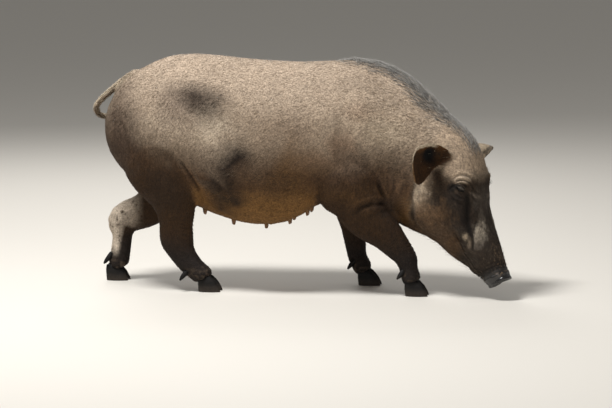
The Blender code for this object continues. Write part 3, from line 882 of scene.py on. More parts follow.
    def snout_disc(self, points: np.ndarray) -> np.ndarray:
        """Dish the disc of the snout and sink the nostrils into it."""
        upwards = np.array((-DISC_FACING[2], 0.0, DISC_FACING[0]))
        away = to_head(points) - DISC_PLACE
        out, across, up = away @ DISC_FACING, away[:, 1], away @ upwards
        front = step(out, -0.007, -0.002) * (np.abs(out) < 0.02)
        radius = np.hypot(across / 0.036, (up + 0.001) / 0.031)
        push = -0.0028 * step(radius, 0.92, 0.60) + 0.0022 * bell(radius - 0.93, 0.10)
        push -= 0.0015 * bell(across, 0.003) * step(up, 0.016, 0.028)
        for side in (-1, 1):
            tilt = 0.25 * side * (up - 0.002)
            hole = np.hypot((across - side * 0.0135 - tilt) / 0.0052, (up - 0.002) / 0.0078)
            push -= 0.0120 * step(hole, 1.0, 0.62)
            push += 0.0016 * bell(hole - 1.35, 0.28)
        lip = bell(radius - 1.0, 0.12) * step(up, 0.004, 0.018)
        lip = lip * step(np.abs(out + 0.002), 0.009, 0.003)
        flare = 0.0026 * from_head(upwards, places=False) * lip[:, None]
        shift = from_head(DISC_FACING, places=False)
        return points + shift * (push * front)[:, None] + flare

    def lids(self, points: np.ndarray) -> np.ndarray:
        """Wrap upper and lower lids round the eyes and open a slit between them."""
        head = to_head(points)
        slit, upwards, gaze = EYE_AXES
        for side in Side:
            local = head * side.mirror
            u, w, out = eye_axes(local)
            near = (np.hypot(u, w) < LID_REACH) & (out > -0.004)
            u, w, out = u[near], w[near], out[near]
            line = np.maximum(1 - (u / SLIT_HALF) ** 2, 0)
            sag = -0.0014 * line
            upper, lower = sag + 0.0010 * line ** 0.8, sag - 0.0014 * line ** 0.9
            edge = np.where(np.abs(u) < SLIT_HALF, np.maximum(w - upper, lower - w),
                            np.hypot(np.abs(u) - SLIT_HALF, w))
            rim = 0.0140 + 0.0020 * step(w - sag, -0.0008, 0.0008)
            radius = rim + 0.0006 * bell(edge - 0.0013, 0.0009)
            radius = radius - (rim - 0.0095) * step(edge, 0.0005, -0.0007)
            # two creases over the eye and one under it, which curve round it
            for depth, height, curve, width in ((0.0017, 0.0072, 22, 0.0013),
                                                (0.0007, 0.0040, 26, 0.0008),
                                                (0.0008, -0.0075, -24, 0.0012)):
                own = w > 0 if height > 0 else w < 0
                radius = radius - depth * bell(w - height + u * u * curve, width) * own
            flat = np.hypot(u * 0.9, w * (1.0 + 0.25 * (w < 0)))
            reach = np.minimum(flat, 0.0135)
            dome = np.sqrt(np.maximum(radius ** 2 - reach ** 2, 0.0))
            blend = step(flat, 0.0175, 0.0100)
            target = np.where(edge < 0.0006, dome, np.maximum(dome, out))
            moved = out + (target - out) * blend
            local[near] = (EYE_PLACE + np.outer(u, slit) + np.outer(w, upwards)
                           + np.outer(moved, gaze))
            head = local * side.mirror
        return from_head(head)

    def thin(self) -> None:
        """Bring the mesh under its budget, with the head and feet kept fine."""
        count = len(Mesher.triangles(self.obj.data))
        coarse = self.obj.vertex_groups.new(name="coarse")
        keep = (self.share[Region.HEAD] + self.share[Region.SNOUT] + self.share[Region.EAR]
                + self.share[Region.TAIL] + 0.75 * self.share[Region.LEG]
                + self.teats(to_body(Mesher.points(self.obj.data)), 0.008))
        weights = np.clip(1 - keep, 0.0, 1.0)
        levels = np.round(weights * 10).astype(int)
        for level in range(11):
            rows = np.nonzero(levels == level)[0]
            coarse.add(rows.tolist(), 0.05 + level * 0.095, "REPLACE")
        apply_modifier(self.obj, "DECIMATE", decimate_type="COLLAPSE",
                       ratio=self.budget / count, vertex_group="coarse",
                       vertex_group_factor=1.0)
        self.obj.vertex_groups.clear()
        self.read_regions()
        self.crease = Mesher.read(self.obj.data, "crease")

    def build(self) -> bpy.types.Object:
        """Make the whole skin."""
        self.fuse()
        log.info("fused skin: %d faces", len(self.obj.data.polygons))
        self.know_regions()
        self.settle()
        self.refine()
        self.shape()
        self.thin()
        smooth(self.obj)
        log.info("skin: %d triangles", len(Mesher.triangles(self.obj.data)))
        return self.obj


@dataclass(frozen=True)
class Patch:
    """A patch on the hide, seen from one side of the animal: a stain, a bare place, painted shade,
    painted light.
    """

    place: tuple[float, float]
    size: tuple[float, float]
    colour: str
    strength: float
    side: Side = Side.RIGHT
    lean: float = 0.0
    ragged: float = 0.5
    streaky: float = 0.0
    inner: float = 0.0
    soft: float = 0.95


# Stains on the body, and patches of painted shade and painted light: x and z in the body's own
# axes.
BODY_PATCHES = (
    # painted shade on the right side of the rump, over a darker hide
    Patch((-0.45, 0.4), (0.055, 0.13), "#4B3C31", 0.88),
    Patch((0.15, 0.338), (0.052, 0.036), "#45352A", 0.5),
    # painted shade on the left side of the rump, over a darker hide
    Patch((-0.45, 0.4), (0.055, 0.13), "#55453A", 0.8, Side.LEFT),
    Patch((-0.29, 0.51), (0.08, 0.022), "#7C6C5D", 0.7, lean=0.12),
    Patch((-0.265, 0.48), (0.075, 0.034), "#75665A", 0.6, lean=0.15),
    Patch((-0.232, 0.505), (0.058, 0.044), "#33281F", 0.95, lean=-0.3),
    # painted light: a lit band across the flank
    Patch((-0.212, 0.415), (0.04, 0.05), "#C9B8A2", 0.6, ragged=0.6),
    Patch((-0.33, 0.43), (0.08, 0.045), "#AE9D8A", 0.4),
    Patch((0.026, 0.345), (0.09, 0.036), "#6A4C2A", 0.62, ragged=0.4),
    Patch((-0.052, 0.304), (0.06, 0.016), "#43372D", 0.5, ragged=0.4),
    # painted shade on the thigh
    Patch((-0.335, 0.27), (0.052, 0.062), "#2E251E", 0.55, ragged=0.4),
    Patch((-0.195, 0.33), (0.05, 0.058), "#7B6C5D", 0.62, ragged=0.6, streaky=0.4),
    Patch((-0.138, 0.361), (0.036, 0.02), "#211710", 1.0, lean=0.5, ragged=0.32, soft=0.6),
    Patch((-0.164, 0.342), (0.03, 0.019), "#241A13", 0.95, lean=0.3, ragged=0.32, soft=0.6),
    Patch((-0.202, 0.358), (0.009, 0.036), "#43362B", 0.85, soft=0.6),
    Patch((-0.172, 0.288), (0.044, 0.023), "#271C14", 0.95, ragged=0.28, soft=0.6),
    Patch((-0.206, 0.255), (0.015, 0.02), "#241A12", 0.9, lean=-0.5, ragged=0.12, soft=0.5),
    Patch((-0.176, 0.241), (0.016, 0.017), "#241A12", 0.92, lean=-0.5, ragged=0.12, soft=0.5),
    Patch((-0.143, 0.243), (0.014, 0.013), "#241A12", 0.92, lean=-0.5, ragged=0.12, soft=0.5),
    Patch((-0.138, 0.212), (0.03, 0.008), "#2C2017", 0.85, lean=-0.3, ragged=0.25, soft=0.5),
    Patch((-0.19, 0.222), (0.02, 0.008), "#2C2017", 0.8, lean=-0.3, ragged=0.25, soft=0.5),
    Patch((-0.02, 0.43), (0.085, 0.042), "#75614F", 0.55),
    # painted shadow in the armpit between neck and foreleg
    Patch((0.234, 0.232), (0.022, 0.028), "#0C0806", 0.95, ragged=0.3),
    # painted shade on the upper foreleg, under the neck
    Patch((0.266, 0.176), (0.036, 0.05), "#1D1612", 0.45, ragged=0.4),
    Patch((0.07, 0.36), (0.06, 0.04), "#8D7663", 0.45, ragged=0.6),
    Patch((0.215, 0.43), (0.06, 0.05), "#C6B49C", 0.45, ragged=0.6),
    Patch((0.12, 0.4), (0.05, 0.022), "#7E5F48", 0.45, ragged=0.8, streaky=0.5),
    Patch((0.17, 0.47), (0.05, 0.02), "#8A6B52", 0.3, ragged=0.35),
    # painted shade low on the neck, on both sides
    Patch((0.262, 0.262), (0.055, 0.06), "#43342A", 0.6),
    Patch((0.262, 0.262), (0.055, 0.06), "#43342A", 0.6, Side.LEFT),
    Patch((-0.25, 0.43), (0.07, 0.045), "#6B5949", 0.45, Side.LEFT, ragged=0.35),
    Patch((-0.06, 0.33), (0.06, 0.03), "#4B3A2D", 0.6, Side.LEFT, lean=0.3, ragged=0.35),
    Patch((0.12, 0.35), (0.04, 0.03), "#5B493A", 0.5, Side.LEFT, ragged=0.35),
    Patch((-0.16, 0.27), (0.012, 0.012), "#38291D", 0.75, Side.LEFT, ragged=0.2),
    Patch((-0.12, 0.262), (0.014, 0.008), "#38291D", 0.7, Side.LEFT, ragged=0.2),
)

# Stains on the head, and patches of painted shade: x and z in the head's own axes.
HEAD_PATCHES = (
    Patch((0.368, 0.276), (0.03, 0.034), "#B8A791", 0.62, ragged=0.9, streaky=0.6),
    Patch((0.405, 0.222), (0.05, 0.036), "#6B5138", 0.6, streaky=0.3),
    Patch((0.482, 0.314), (0.02, 0.012), "#A99884", 0.6, ragged=0.3),
    # painted shadow in the hollow behind the eye
    Patch((0.458, 0.287), (0.014, 0.013), "#14100D", 0.85, ragged=0.3),
    Patch((0.472, 0.262), (0.02, 0.015), "#28201B", 0.7, ragged=0.3),
    Patch((0.515, 0.262), (0.014, 0.04), "#5C534A", 0.55, ragged=0.6, streaky=0.3),
    Patch((0.487, 0.238), (0.014, 0.05), "#1C1510", 0.72, ragged=0.45),
    Patch((0.492, 0.195), (0.012, 0.04), "#1F1713", 0.72),
    Patch((0.507, 0.263), (0.01, 0.004), "#85786A", 0.4, lean=-1.3, ragged=0.3, inner=0.018),
    Patch((0.518, 0.212), (0.007, 0.034), "#6F655A", 0.45, ragged=0.35, streaky=0.25, inner=0.02),
    Patch((0.518, 0.172), (0.014, 0.028), "#A59A8A", 0.74, ragged=0.6, streaky=0.3, inner=0.02),
    Patch((0.515, 0.146), (0.014, 0.022), "#6E645A", 0.6, streaky=0.25, inner=0.02),
    Patch((0.487, 0.162), (0.009, 0.011), "#AE9C84", 0.8, ragged=0.6, streaky=0.3),
    Patch((0.495, 0.145), (0.006, 0.018), "#7C6D5D", 0.55, ragged=0.6, streaky=0.3),
    Patch((0.4965, 0.174), (0.005, 0.018), "#130E0B", 0.85, ragged=0.3),
    # painted shade in the crease at the corner of the mouth
    Patch((0.468, 0.152), (0.011, 0.006), "#120A06", 0.9, lean=-0.3, ragged=0.3),
    Patch((0.45, 0.14), (0.02, 0.03), "#5E452C", 0.5),
)


@dataclass
class Spots:
    """Places on the skin, and what their colours depend on."""

    points: np.ndarray  # in the frame's axes, as the normals are
    normals: np.ndarray
    share: dict[Region, np.ndarray]  # how much of each place belongs to each region
    crease: np.ndarray  # how deep each lies in a fold, negative on a roll beside one
    body: np.ndarray = field(init=False)
    head: np.ndarray = field(init=False)
    drift: np.ndarray = field(init=False)
    mottle: np.ndarray = field(init=False)
    face: np.ndarray = field(init=False)

    def __post_init__(self) -> None:
        """Work out the places in other axes, and broad and finer random values."""
        self.body, self.head = to_body(self.points), to_head(self.points)
        self.drift = Grain(31).rough(self.points, 0.16)
        self.mottle = Grain(32).rough(self.points, 0.030)
        self.face = self.share[Region.HEAD] + self.share[Region.SNOUT]


@dataclass
class Markings:
    """The hide's colours, painted light and shade among them, and wet places, shared by skin and
    coat.
    """

    skin: Skin
    # back and flank: dusty hide tones, with painted light on the back; low: brown hide darkened as
    # painted shade; belly: warm brown, partly painted bounce light from the floor
    back: str = "#AD9A86"
    flank: str = "#A08E7A"
    low: str = "#4B3624"
    belly: str = "#79572F"
    teat: str = "#7D604B"
    fleck: str = "#4A372A"
    # painted shade down the rump's cleft below the tail
    cleft_shade: str = "#2E241D"
    crest: str = "#7C766E"
    # the legs' dark tones are partly painted shade; the pale behind the far hind leg is dust and
    # painted sunlight
    leg_high: str = "#3A2817"
    leg_low: str = "#241D19"
    leg_dust_and_light: str = "#C4B5A3"
    foot_dust: str = "#6E5E4E"
    # the tail's upper side painted lit, its underside painted in shade
    tail_top_lit: str = "#E2D3BC"
    tail_under_shaded: str = "#5A4430"
    brow: str = "#A6927C"
    cheek: str = "#35271A"
    jowl: str = "#7B6048"
    face_front: str = "#3C352F"
    muzzle: str = "#171310"
    mud: str = "#93795C"
    disc: str = "#120F0E"
    # inside the ears: dark brown partly painted as shade, painted light glowing through, and
    # painted shade deepening into the hole
    ear_in: str = "#38230F"
    ear_glow: str = "#6A4420"
    ear_hole_shade: str = "#070403"
    ear_back: str = "#A8977F"
    ear_tip: str = "#8A6A48"
    # the rims: a painted highlight on the right ear, painted shade on the left
    ear_rims_lit_and_shaded: dict[Side, str] = field(default_factory=lambda: {
        Side.RIGHT: "#CBBAA2", Side.LEFT: "#2E251E"})
    ear_edges: dict[Side, tuple[np.ndarray, np.ndarray]] = field(default_factory=dict)
    slit: str = "#0B0908"
    # painted shadow by the eye's corner, a painted highlight on the upper lid and painted shade in
    # its crease
    eye_corner_shadow: str = "#120E0B"
    lid_highlight: str = "#857B71"
    lid_fold_shade: str = "#1C1612"
    fold_shade: float = 240.0  # how fast painted shade, with dirt, darkens the hide with a fold's depth
    shade_range: tuple[float, float] = (-0.62, 0.24)  # limits: painted shade and dirt in the deepest folds, a lighter worn tone on rolls
    colour: np.ndarray | None = None
    wet: np.ndarray | None = None
    bare: np.ndarray | None = None

    @staticmethod
    def blend(colour: np.ndarray, *layers: tuple[str | np.ndarray, np.ndarray]) -> np.ndarray:
        """Mix other colours over the rows, one after another.

        Args:
            colour: one row for each place.
            layers: a hex colour, or rows of them, each with an amount for each place.

        Returns:
            The mixed rows.
        """
        for over, amount in layers:
            amount = np.clip(amount, 0, 1)[:, None]
            over = tone(over) if isinstance(over, str) else over
            colour = colour * (1 - amount) + over * amount
        return colour

    def lay_patches(self, colour: np.ndarray, places: np.ndarray, patches: tuple[Patch, ...],
              within: np.ndarray) -> np.ndarray:
        """Lay patches over the colours.

        Args:
            colour: one row for each place.
            places: the places, in the patches' axes.
            patches: the stains, painted shade and painted light.
            within: how much of each place they may cover.

        Returns:
            The colours with the patches on.
        """
        grain = Grain(21)
        wobble = grain.rough(places, 0.022) + 0.6 * grain.rough(places, 0.007, 2)
        streaks = grain.at(places * (1.0, 1.0, 0.22), 0.0035) * 2 - 1
        for patch in patches:
            dx = places[:, 0] - patch.place[0]
            dz = places[:, 2] - patch.place[1] - patch.lean * dx
            radius = (np.hypot(dx / patch.size[0], dz / patch.size[1])
                      + patch.ragged * wobble + patch.streaky * streaks)
            there = step(radius, 1 + 0.42 * patch.soft, 1 - 0.58 * patch.soft) * within
            there = there * patch.side.holds(places)
            if patch.inner:
                off = np.abs(places[:, 1]) - patch.inner
                there = there * step(off, -0.008, 0.004)
            colour = self.blend(colour, (patch.colour, patch.strength * there))
        return colour

    def build(self) -> None:
        """Store colour and wetness on the skin, and keep how bare each vertex is."""
        mesh = self.skin.obj.data
        at = Spots(*Mesher.surface(mesh), self.skin.share, self.skin.crease)
        # where each ear's upper edge runs, measured at places along the ear
        reaches = np.linspace(-0.005, 0.095, 41)
        for side in Side:
            out, rise = EARS[side].spots(at.head)
            mine = (at.share[Region.EAR] > 0.6) & side.holds(at.head)
            self.ear_edges[side] = (reaches, np.array([
                rise[mine & (np.abs(out - reach) < 0.0026)].max(initial=0.01)
                for reach in reaches]))
        self.colour, self.bare = self.paint(at)
        self.wet = step(behind_disc(at.head) + 0.004 * at.mottle, 0.044, 0.016) * at.face
        Mesher.paint(mesh, "marking", self.colour)
        Mesher.store(mesh, "wet", self.wet)

    def paint(self, at: Spots) -> tuple[np.ndarray, np.ndarray]:
        """Colour places on the skin.

        Args:
            at: the places.

        Returns:
            One colour for each place, and how bare of hair it is.
        """
        body, head, normals, share, face = at.body, at.head, at.normals, at.share, at.face
        fine, clumps = Grain(32), Grain(33)
        colour = self.trunk(at)
        leg = share[Region.LEG]
        top = 0.36 + 0.07 * step(body[:, 0], 0.0, -0.20)
        amount = leg * step(body[:, 2] + 0.02 * at.mottle, top, top - 0.14)
        colour = self.blend(colour, (self.legs(at), amount))

        trunk = share[Region.TRUNK]
        colour = self.lay_patches(colour, body, BODY_PATCHES,
                            np.clip(trunk + share[Region.NECK] + 0.6 * leg, 0, 1))
        teat = step(self.skin.teats(body, 0.0075), 0.35, 0.75)
        flecks = step(fine.at(at.points + 3.1, 0.010), 0.80, 0.86) * step(at.drift, -0.1, 0.4)
        # painted shade down the cleft of the rump, below the tail
        cleft_shade = bell(body[:, 0] + 0.475, 0.075) * bell(body[:, 1], 0.012) * (body[:, 2] < 0.54)
        colour = self.blend(colour, (self.teat, teat * trunk),
                            (self.fleck, 0.45 * flecks * trunk),
                            (self.cleft_shade, 0.7 * cleft_shade * trunk))

        colour = self.blend(colour, (self.front(at), face))
        for places in (head, flipped(head)):
            colour = self.lay_patches(colour, places, HEAD_PATCHES, face)
        down = behind_disc(head)
        # mud is splashed over the end of the nose
        bridge = step(np.abs(head[:, 1]), 0.034, 0.020) * step(head[:, 0], 0.500, 0.530)
        splash = step(clumps.at(at.points, 0.0021) + 0.25 * at.mottle, 0.60, 0.82)
        splash = splash * step(down, 0.010, 0.018) * step(down, 0.120, 0.060)
        dark = face * step(down + 0.006 * at.mottle, 0.062, 0.020)
        colour = self.blend(colour, (self.muzzle, dark),
                            (self.disc, step(down, 0.006, 0.000) * face),
                            (self.mud, 0.75 * splash * bridge * face))

        colour, ear_bare = self.ears(colour, at)
        colour, eye_bare = self.eyes(colour, head)
        tail = share[Region.TAIL] * (0.25 + 0.75 * step(body[:, 0], -0.450, -0.490))
        # painted light on the tail's upper side and painted shade under it
        colour = self.blend(colour, (self.tail_top_lit, tail * step(normals[:, 2], -0.05, 0.35)),
                            (self.tail_under_shaded, tail * step(normals[:, 2], -0.05, -0.45)))

        # bristles part in clumps, which show darker skin between them
        lively = 0.12 + 0.28 * step(body[:, 0], 0.04, 0.18)
        clump = clumps.rough(at.points * (1.0, 1.0, 0.6), 0.0052, 3)
        shade = (1 + 0.07 * at.mottle + 0.05 * at.drift) * np.exp(lively * clump)
        # folds get painted shade and dirt, rolls a lighter worn tone
        shade = shade * np.exp(np.clip(-self.fold_shade * at.crease, *self.shade_range))
        colour = np.clip(colour * shade[:, None], 0.002, 0.95)
        disc = step(down, 0.024, 0.015) * face
        naked = step(self.skin.teats(body, 0.0090), 0.25, 0.55) * trunk
        return colour, np.clip(disc + ear_bare + eye_bare + naked, 0, 1)

    def trunk(self, at: Spots) -> np.ndarray:
        """Trunk and neck: dusty and partly painted light on the back, brown and partly painted
        shade low down, warm under the belly, partly painted bounce light.
        """
        body, up = at.body, at.normals[:, 2]
        height = body[:, 2] + 0.030 * at.drift + 0.012 * at.mottle
        # painted shade: the haunch is darkened further
        height = height - 0.075 * step(body[:, 0], -0.30, -0.46)
        # the back's tone lies thicker where the skin faces up: dust, and painted light from above
        top = 0.75 + 0.25 * step(up, 0.0, 0.7)
        off = np.abs(body[:, 1] - self.spine(body))
        crest = step(body[:, 0], 0.12, 0.22) * step(off, 0.060, 0.012)
        return self.blend(
            # darker downwards, partly as painted shade; the belly's warmth is partly painted
            # bounce light
            np.tile(tone(self.low), (len(body), 1)),
            (self.flank, step(height, 0.29, 0.435)),
            (self.back, step(height, 0.41, 0.535) * top),
            (self.belly, step(body[:, 2] + 0.01 * at.mottle, 0.300, 0.235) * 0.9),
            (self.crest, crest * step(up, 0.1, 0.6) * (0.35 + 0.3 * at.mottle)))

    def legs(self, at: Spots) -> np.ndarray:
        """Legs: dark brown above, nearly black below, both partly painted shade; dusty at the
        foot, and dust with painted sunlight behind the far hind leg.
        """
        body, mottle = at.body, at.mottle
        flecks = Grain(34).at(body, 0.006)
        dust = step(-at.normals[:, 0], -0.30, 0.25) * step(body[:, 0], -0.42, -0.46)
        dust = dust * step(body[:, 2], 0.060, 0.090) * step(body[:, 2], 0.290, 0.205)
        dust = dust * step(body[:, 1], 0.0, 0.04)  # on the far hind leg only: dust, and painted sunlight on its rear
        return self.blend(
            np.tile(tone(self.leg_low), (len(body), 1)),
            (self.leg_high, step(body[:, 2] + 0.02 * at.drift, 0.08, 0.17)),
            (self.leg_dust_and_light, 0.95 * dust * step(flecks + 0.3 * mottle, 0.0, 0.3)),
            (self.foot_dust, 0.35 * step(body[:, 2], 0.075, 0.045)
             * step(flecks + 0.4 * mottle, 0.45, 0.75)))

    def front(self, at: Spots) -> np.ndarray:
        """Head: sandy above the eyes, dark brown on the cheeks, nearly black in front."""
        x, z, mottle = at.head[:, 0], at.head[:, 2], at.mottle
        crown = np.maximum(step(x + 0.2 * (z - 0.33), 0.425, 0.450), step(z, 0.325, 0.350))
        front = step(x - 0.46 + 0.35 * (0.36 - z), -0.05, 0.03) * step(z, 0.32, 0.25)
        return self.blend(
            np.tile(tone(self.cheek), (len(x), 1)),
            (self.brow, step(z + 0.012 * mottle, 0.290, 0.335) * crown),
            (self.brow, 0.6 * step(x, 0.42, 0.38) * step(z, 0.20, 0.26)),
            (self.face_front, front * (0.6 + 0.4 * mottle)),
            (self.jowl, 0.40 * step(z, 0.23, 0.17) * step(x, 0.47, 0.43)))

    @staticmethod
    def spine(body: np.ndarray) -> np.ndarray:
        """The y of the animal's middle line at each place's x, along the turned neck."""
        return -np.tan(HEAD_TURN) * np.maximum(body[:, 0] - HEAD_PIVOT_X, 0)

    def ears(self, colour: np.ndarray, at: Spots) -> tuple[np.ndarray, np.ndarray]:
        """Colour the ears: dark inside, partly as painted shade that deepens towards the hole,
        with painted light glowing through the upper inside, a painted highlight on the right ear's
        rim and painted shade on the left's.

        Args:
            colour: one row for each place.
            at: the places.

        Returns:
            The new colours, and how bare each place is.
        """
        head, normals, share = at.head, at.normals, at.share[Region.EAR]
        bare = np.zeros(len(head))
        colour = self.blend(colour, (self.ear_back, share * 0.8))
        for side, axes in EARS.items():
            mine = share * side.holds(head)
            opening, caudal = from_head((axes.opening, axes.edge), places=False)
            inside = step(normals @ opening, -0.05, 0.35) * mine
            away = far(head, np.array(axes.hole))
            out, rise = axes.spots(head)
            inset = np.interp(out, *self.ear_edges[side]) - rise
            rim = mine * step(out, 0.0, 0.012)
            # the right ear's upper rim gets a painted highlight
            if side is Side.RIGHT:
                edge = step(normals @ caudal, 0.2, 0.6) * step(inset, 0.0170, 0.0110)
                rim = rim * np.maximum(step(inset, 0.0100, 0.0062), edge)
            else:
                # the left ear's rim is painted dark, partly as shade
                rim = 0.8 * rim * step(inset, 0.0120, 0.0080)
            tip = step(out, 0.088, 0.093) * mine
            colour = self.blend(
                # painted shade inside and in the hole, painted light glowing through the upper
                # inside
                colour, (self.ear_in, inside),
                (self.ear_glow, 0.8 * inside * step(head[:, 2], 0.375, 0.400)),
                (self.ear_hole_shade, inside * step(away, 0.032, 0.012)),
                (self.ear_rims_lit_and_shaded[side], 0.85 * rim), (self.ear_tip, 0.7 * tip * (1 - rim)))
            bare += 0.7 * inside
        return colour, bare

    def eyes(self, colour: np.ndarray, head: np.ndarray) -> tuple[np.ndarray, np.ndarray]:
        """Darken the rims of the lids; paint shadow under the inner corners, a highlight on the
        upper lid and shade in the crease above it.
        """
        bare = np.zeros(len(head))
        for side in Side:
            u, w, out = eye_axes(head * side.mirror)
            near = (np.hypot(u, w) < LID_REACH) & (out > 0.0)
            edge = np.hypot(np.maximum(np.abs(u) - 0.0100, 0), w + 0.0014 - 10 * u * u)
            # painted shadow in the hollow by the corner
            corner = np.hypot((u + 0.0150) / 0.009, (w + 0.001) / 0.006)
            # a painted highlight along the upper lid, and painted shade in the crease over it
            lid_highlight = bell(w - 0.0048, 0.0020) * step(np.abs(u), 0.012, 0.006)
            fold = bell(w - 0.0078 + 22 * u * u, 0.0012) * step(np.abs(u), 0.014, 0.009)
            colour = self.blend(
                colour, (self.slit, 0.96 * step(edge, 0.0042, 0.0020) * near),
                (self.eye_corner_shadow, 0.85 * step(corner, 1.3, 0.5) * near),
                (self.lid_highlight, 0.75 * lid_highlight * near), (self.lid_fold_shade, 0.8 * fold * near))
            bare += step(edge, 0.0075, 0.0045) * near
            bare += 0.6 * step(np.hypot(u - 0.004, w - 0.004), 0.036, 0.020) * (out > -0.01)
        return colour, np.minimum(bare, 1.0)


@dataclass(frozen=True)
class Bristles:
    """How the bristles of a region grow."""

    length: float
    width: float
    lift: float
    gap: float


@dataclass
class Coat:
    """Tufts of bristles over the skin, in pieces, with their own maps."""

    skin: Skin
    markings: Markings
    seed: int = 4
    black: float = 0.20  # the share of bristles that are dark all along
    sandy: str = "#C9B79D"
    turn: float = 0.22  # how far short bristles turn aside, as a tangent
    long_turn: float = 0.16
    growth: dict[Region, Bristles] = field(default_factory=lambda: {
        Region.TRUNK: Bristles(0.0092, 0.00056, 0.055, 0.0038),
        Region.NECK: Bristles(0.0115, 0.00064, 0.070, 0.0037),
        Region.HEAD: Bristles(0.0070, 0.00056, 0.090, 0.0030),
        Region.SNOUT: Bristles(0.0035, 0.00045, 0.100, 0.0040),
        Region.TAIL: Bristles(0.0110, 0.00065, 0.200, 0.0026),
        Region.LEG: Bristles(0.0080, 0.00060, 0.090, 0.0036),
        Region.EAR: Bristles(0.0050, 0.00050, 0.120, 0.0030)})
    roots: dict[str, np.ndarray] = field(default_factory=dict)
    lies: np.ndarray | None = None

    def lie(self, points: np.ndarray, normals: np.ndarray) -> np.ndarray:
        """The direction that the bristles lie in at each vertex of the skin.

        Args:
            points: places in the frame.
            normals: the directions that they face.

        Returns:
            One direction along the skin for each place.
        """
        share = self.skin.share
        body, head = to_body(points), to_head(points)
        count = len(points)
        side_on = 1 - np.abs(normals[:, 2])
        trunk = np.column_stack((-np.ones(count), np.zeros(count), -0.15 - 0.55 * side_on))
        haunch = step(body[:, 0], -0.25, -0.45)
        trunk[:, 2] -= 0.9 * haunch * side_on
        neck = np.column_stack((-np.ones(count), np.zeros(count),
                                0.45 * np.maximum(normals[:, 2], 0) - 0.35 * side_on))
        crown = np.array((-0.50, 0.0, 0.86))
        jaw = np.array((-0.95, 0.0, 0.15))
        towards_jaw = step(head[:, 0] - 0.46 + 0.45 * (0.30 - head[:, 2]), 0.02, -0.07)[:, None]
        face = from_head(crown * (1 - towards_jaw) + jaw * towards_jaw, places=False)
        leg = np.column_stack((-0.25 * np.ones(count), np.zeros(count), -np.ones(count)))
        drop = step(body[:, 2], 0.50, 0.455)
        tail = np.column_stack((-0.8 + 1.6 * drop, 0.5 * drop, -0.6 + 0.3 * drop))
        ear = np.zeros((count, 3))
        for side, axes in EARS.items():
            ear += side.holds(head)[:, None] * from_head(axes.out, places=False)
        ways = {Region.TRUNK: trunk, Region.NECK: neck, Region.HEAD: face, Region.SNOUT: face,
                Region.LEG: leg, Region.TAIL: tail, Region.EAR: ear}
        result = sum(unit(way) * share[region][:, None] for region, way in ways.items())
        swirl = Grain(41)
        turn = 0.30 * swirl.rough(points, 0.07, 2)
        result = unit(result - normals * dot(result, normals)[:, None])
        result = Mesher.relax(result, Mesher.edges(self.skin.obj.data), np.ones(count), 8)
        result = unit(result - normals * dot(result, normals)[:, None])
        return unit(result + np.cross(normals, result) * turn[:, None])

    def sow(self) -> None:
        """Lay out how the short bristles and the long ones grow over the skin."""
        mesh = self.skin.obj.data
        points, normals = Mesher.surface(mesh)
        share = self.skin.share
        body = to_body(points)
        self.lies = self.lie(points, normals)
        traits = {name: sum(share[region] * getattr(bristles, name)
                            for region, bristles in self.growth.items())
                  for name in ("length", "width", "lift", "gap")}
        low_leg = share[Region.LEG] * step(body[:, 2], 0.20, 0.05)
        traits["length"] *= 1 - 0.45 * low_leg
        traits["width"] *= 1 - 0.20 * low_leg
        traits["length"] *= 1 - 0.45 * share[Region.HEAD] * self.markings.bare
        under = share[Region.TRUNK] * step(body[:, 2], 0.27, 0.215) * step(normals[:, 2], 0, -0.5)
        traits["gap"] *= 1 + 0.55 * under
        full = 1.0 / traits["gap"] ** 2 * (1 - self.markings.bare)
        self.roots = self.scatter(full, traits, self.seed)
        log.info("roots: %d", len(self.roots["place"]))

    def scatter(self, full: np.ndarray, traits: dict[str, np.ndarray],
                seed: int) -> dict[str, np.ndarray]:
        """Draw roots evenly over the skin and read what the skin is like there.

        Args:
            full: how many roots grow on a square metre at each vertex.
            traits: the tufts' length, width and lift at each vertex.
            seed: where the draw starts.

        Returns:
            The roots: place, normal, lie, colour, length, width, lift and region.
        """
        mesh = self.skin.obj.data
        points, normals = Mesher.surface(mesh)
        share = self.skin.share
        faces = Mesher.triangles(mesh)
        a, b, c = points[faces[:, 0]], points[faces[:, 1]], points[faces[:, 2]]
        area = np.linalg.norm(np.cross(b - a, c - a), axis=1) / 2
        wanted = area * full[faces].mean(axis=1)
        # faces are taken cell by cell, so that an even draw is even over the skin too
        cells = (((a + b + c) / 3 - points.min(0)) / 0.012).astype(np.int64)
        key = np.zeros(len(faces), np.int64)
        for bit in range(8):
            for axis in range(3):
                key |= ((cells[:, axis] >> bit) & 1) << (3 * bit + axis)
        order = np.argsort(key, kind="stable")
        total = np.cumsum(wanted[order])
        rng = np.random.default_rng(seed)
        marks = np.arange(0.5, total[-1]) + rng.uniform(-0.3, 0.3, int(total[-1] + 0.5))
        chosen = order[np.clip(np.searchsorted(total, marks), 0, len(order) - 1)]
        corners = faces[chosen]
        r, q = rng.random(len(chosen)), rng.random(len(chosen))
        over = r + q > 1
        r, q = np.where(over, 1 - r, r), np.where(over, 1 - q, q)
        weights = np.column_stack((1 - r - q, r, q))

        def read(values: np.ndarray) -> np.ndarray:
            """Blend a vertex value to the roots."""
            rows = values[corners]
            return (rows * weights.reshape(len(rows), 3, *([1] * (rows.ndim - 2)))).sum(axis=1)

        shares = {region: read(share[region]) for region in Region}
        place, normal = read(points), unit(read(normals))
        at = Spots(place, normal, shares, read(self.skin.crease))
        return {"place": place, "normal": normal, "lie": read(self.lies),
                "colour": self.markings.paint(at)[0],
                "length": read(traits["length"]), "width": read(traits["width"]),
                "lift": read(traits["lift"]),
                "region": np.argmax(np.column_stack(list(shares.values())), 1)}

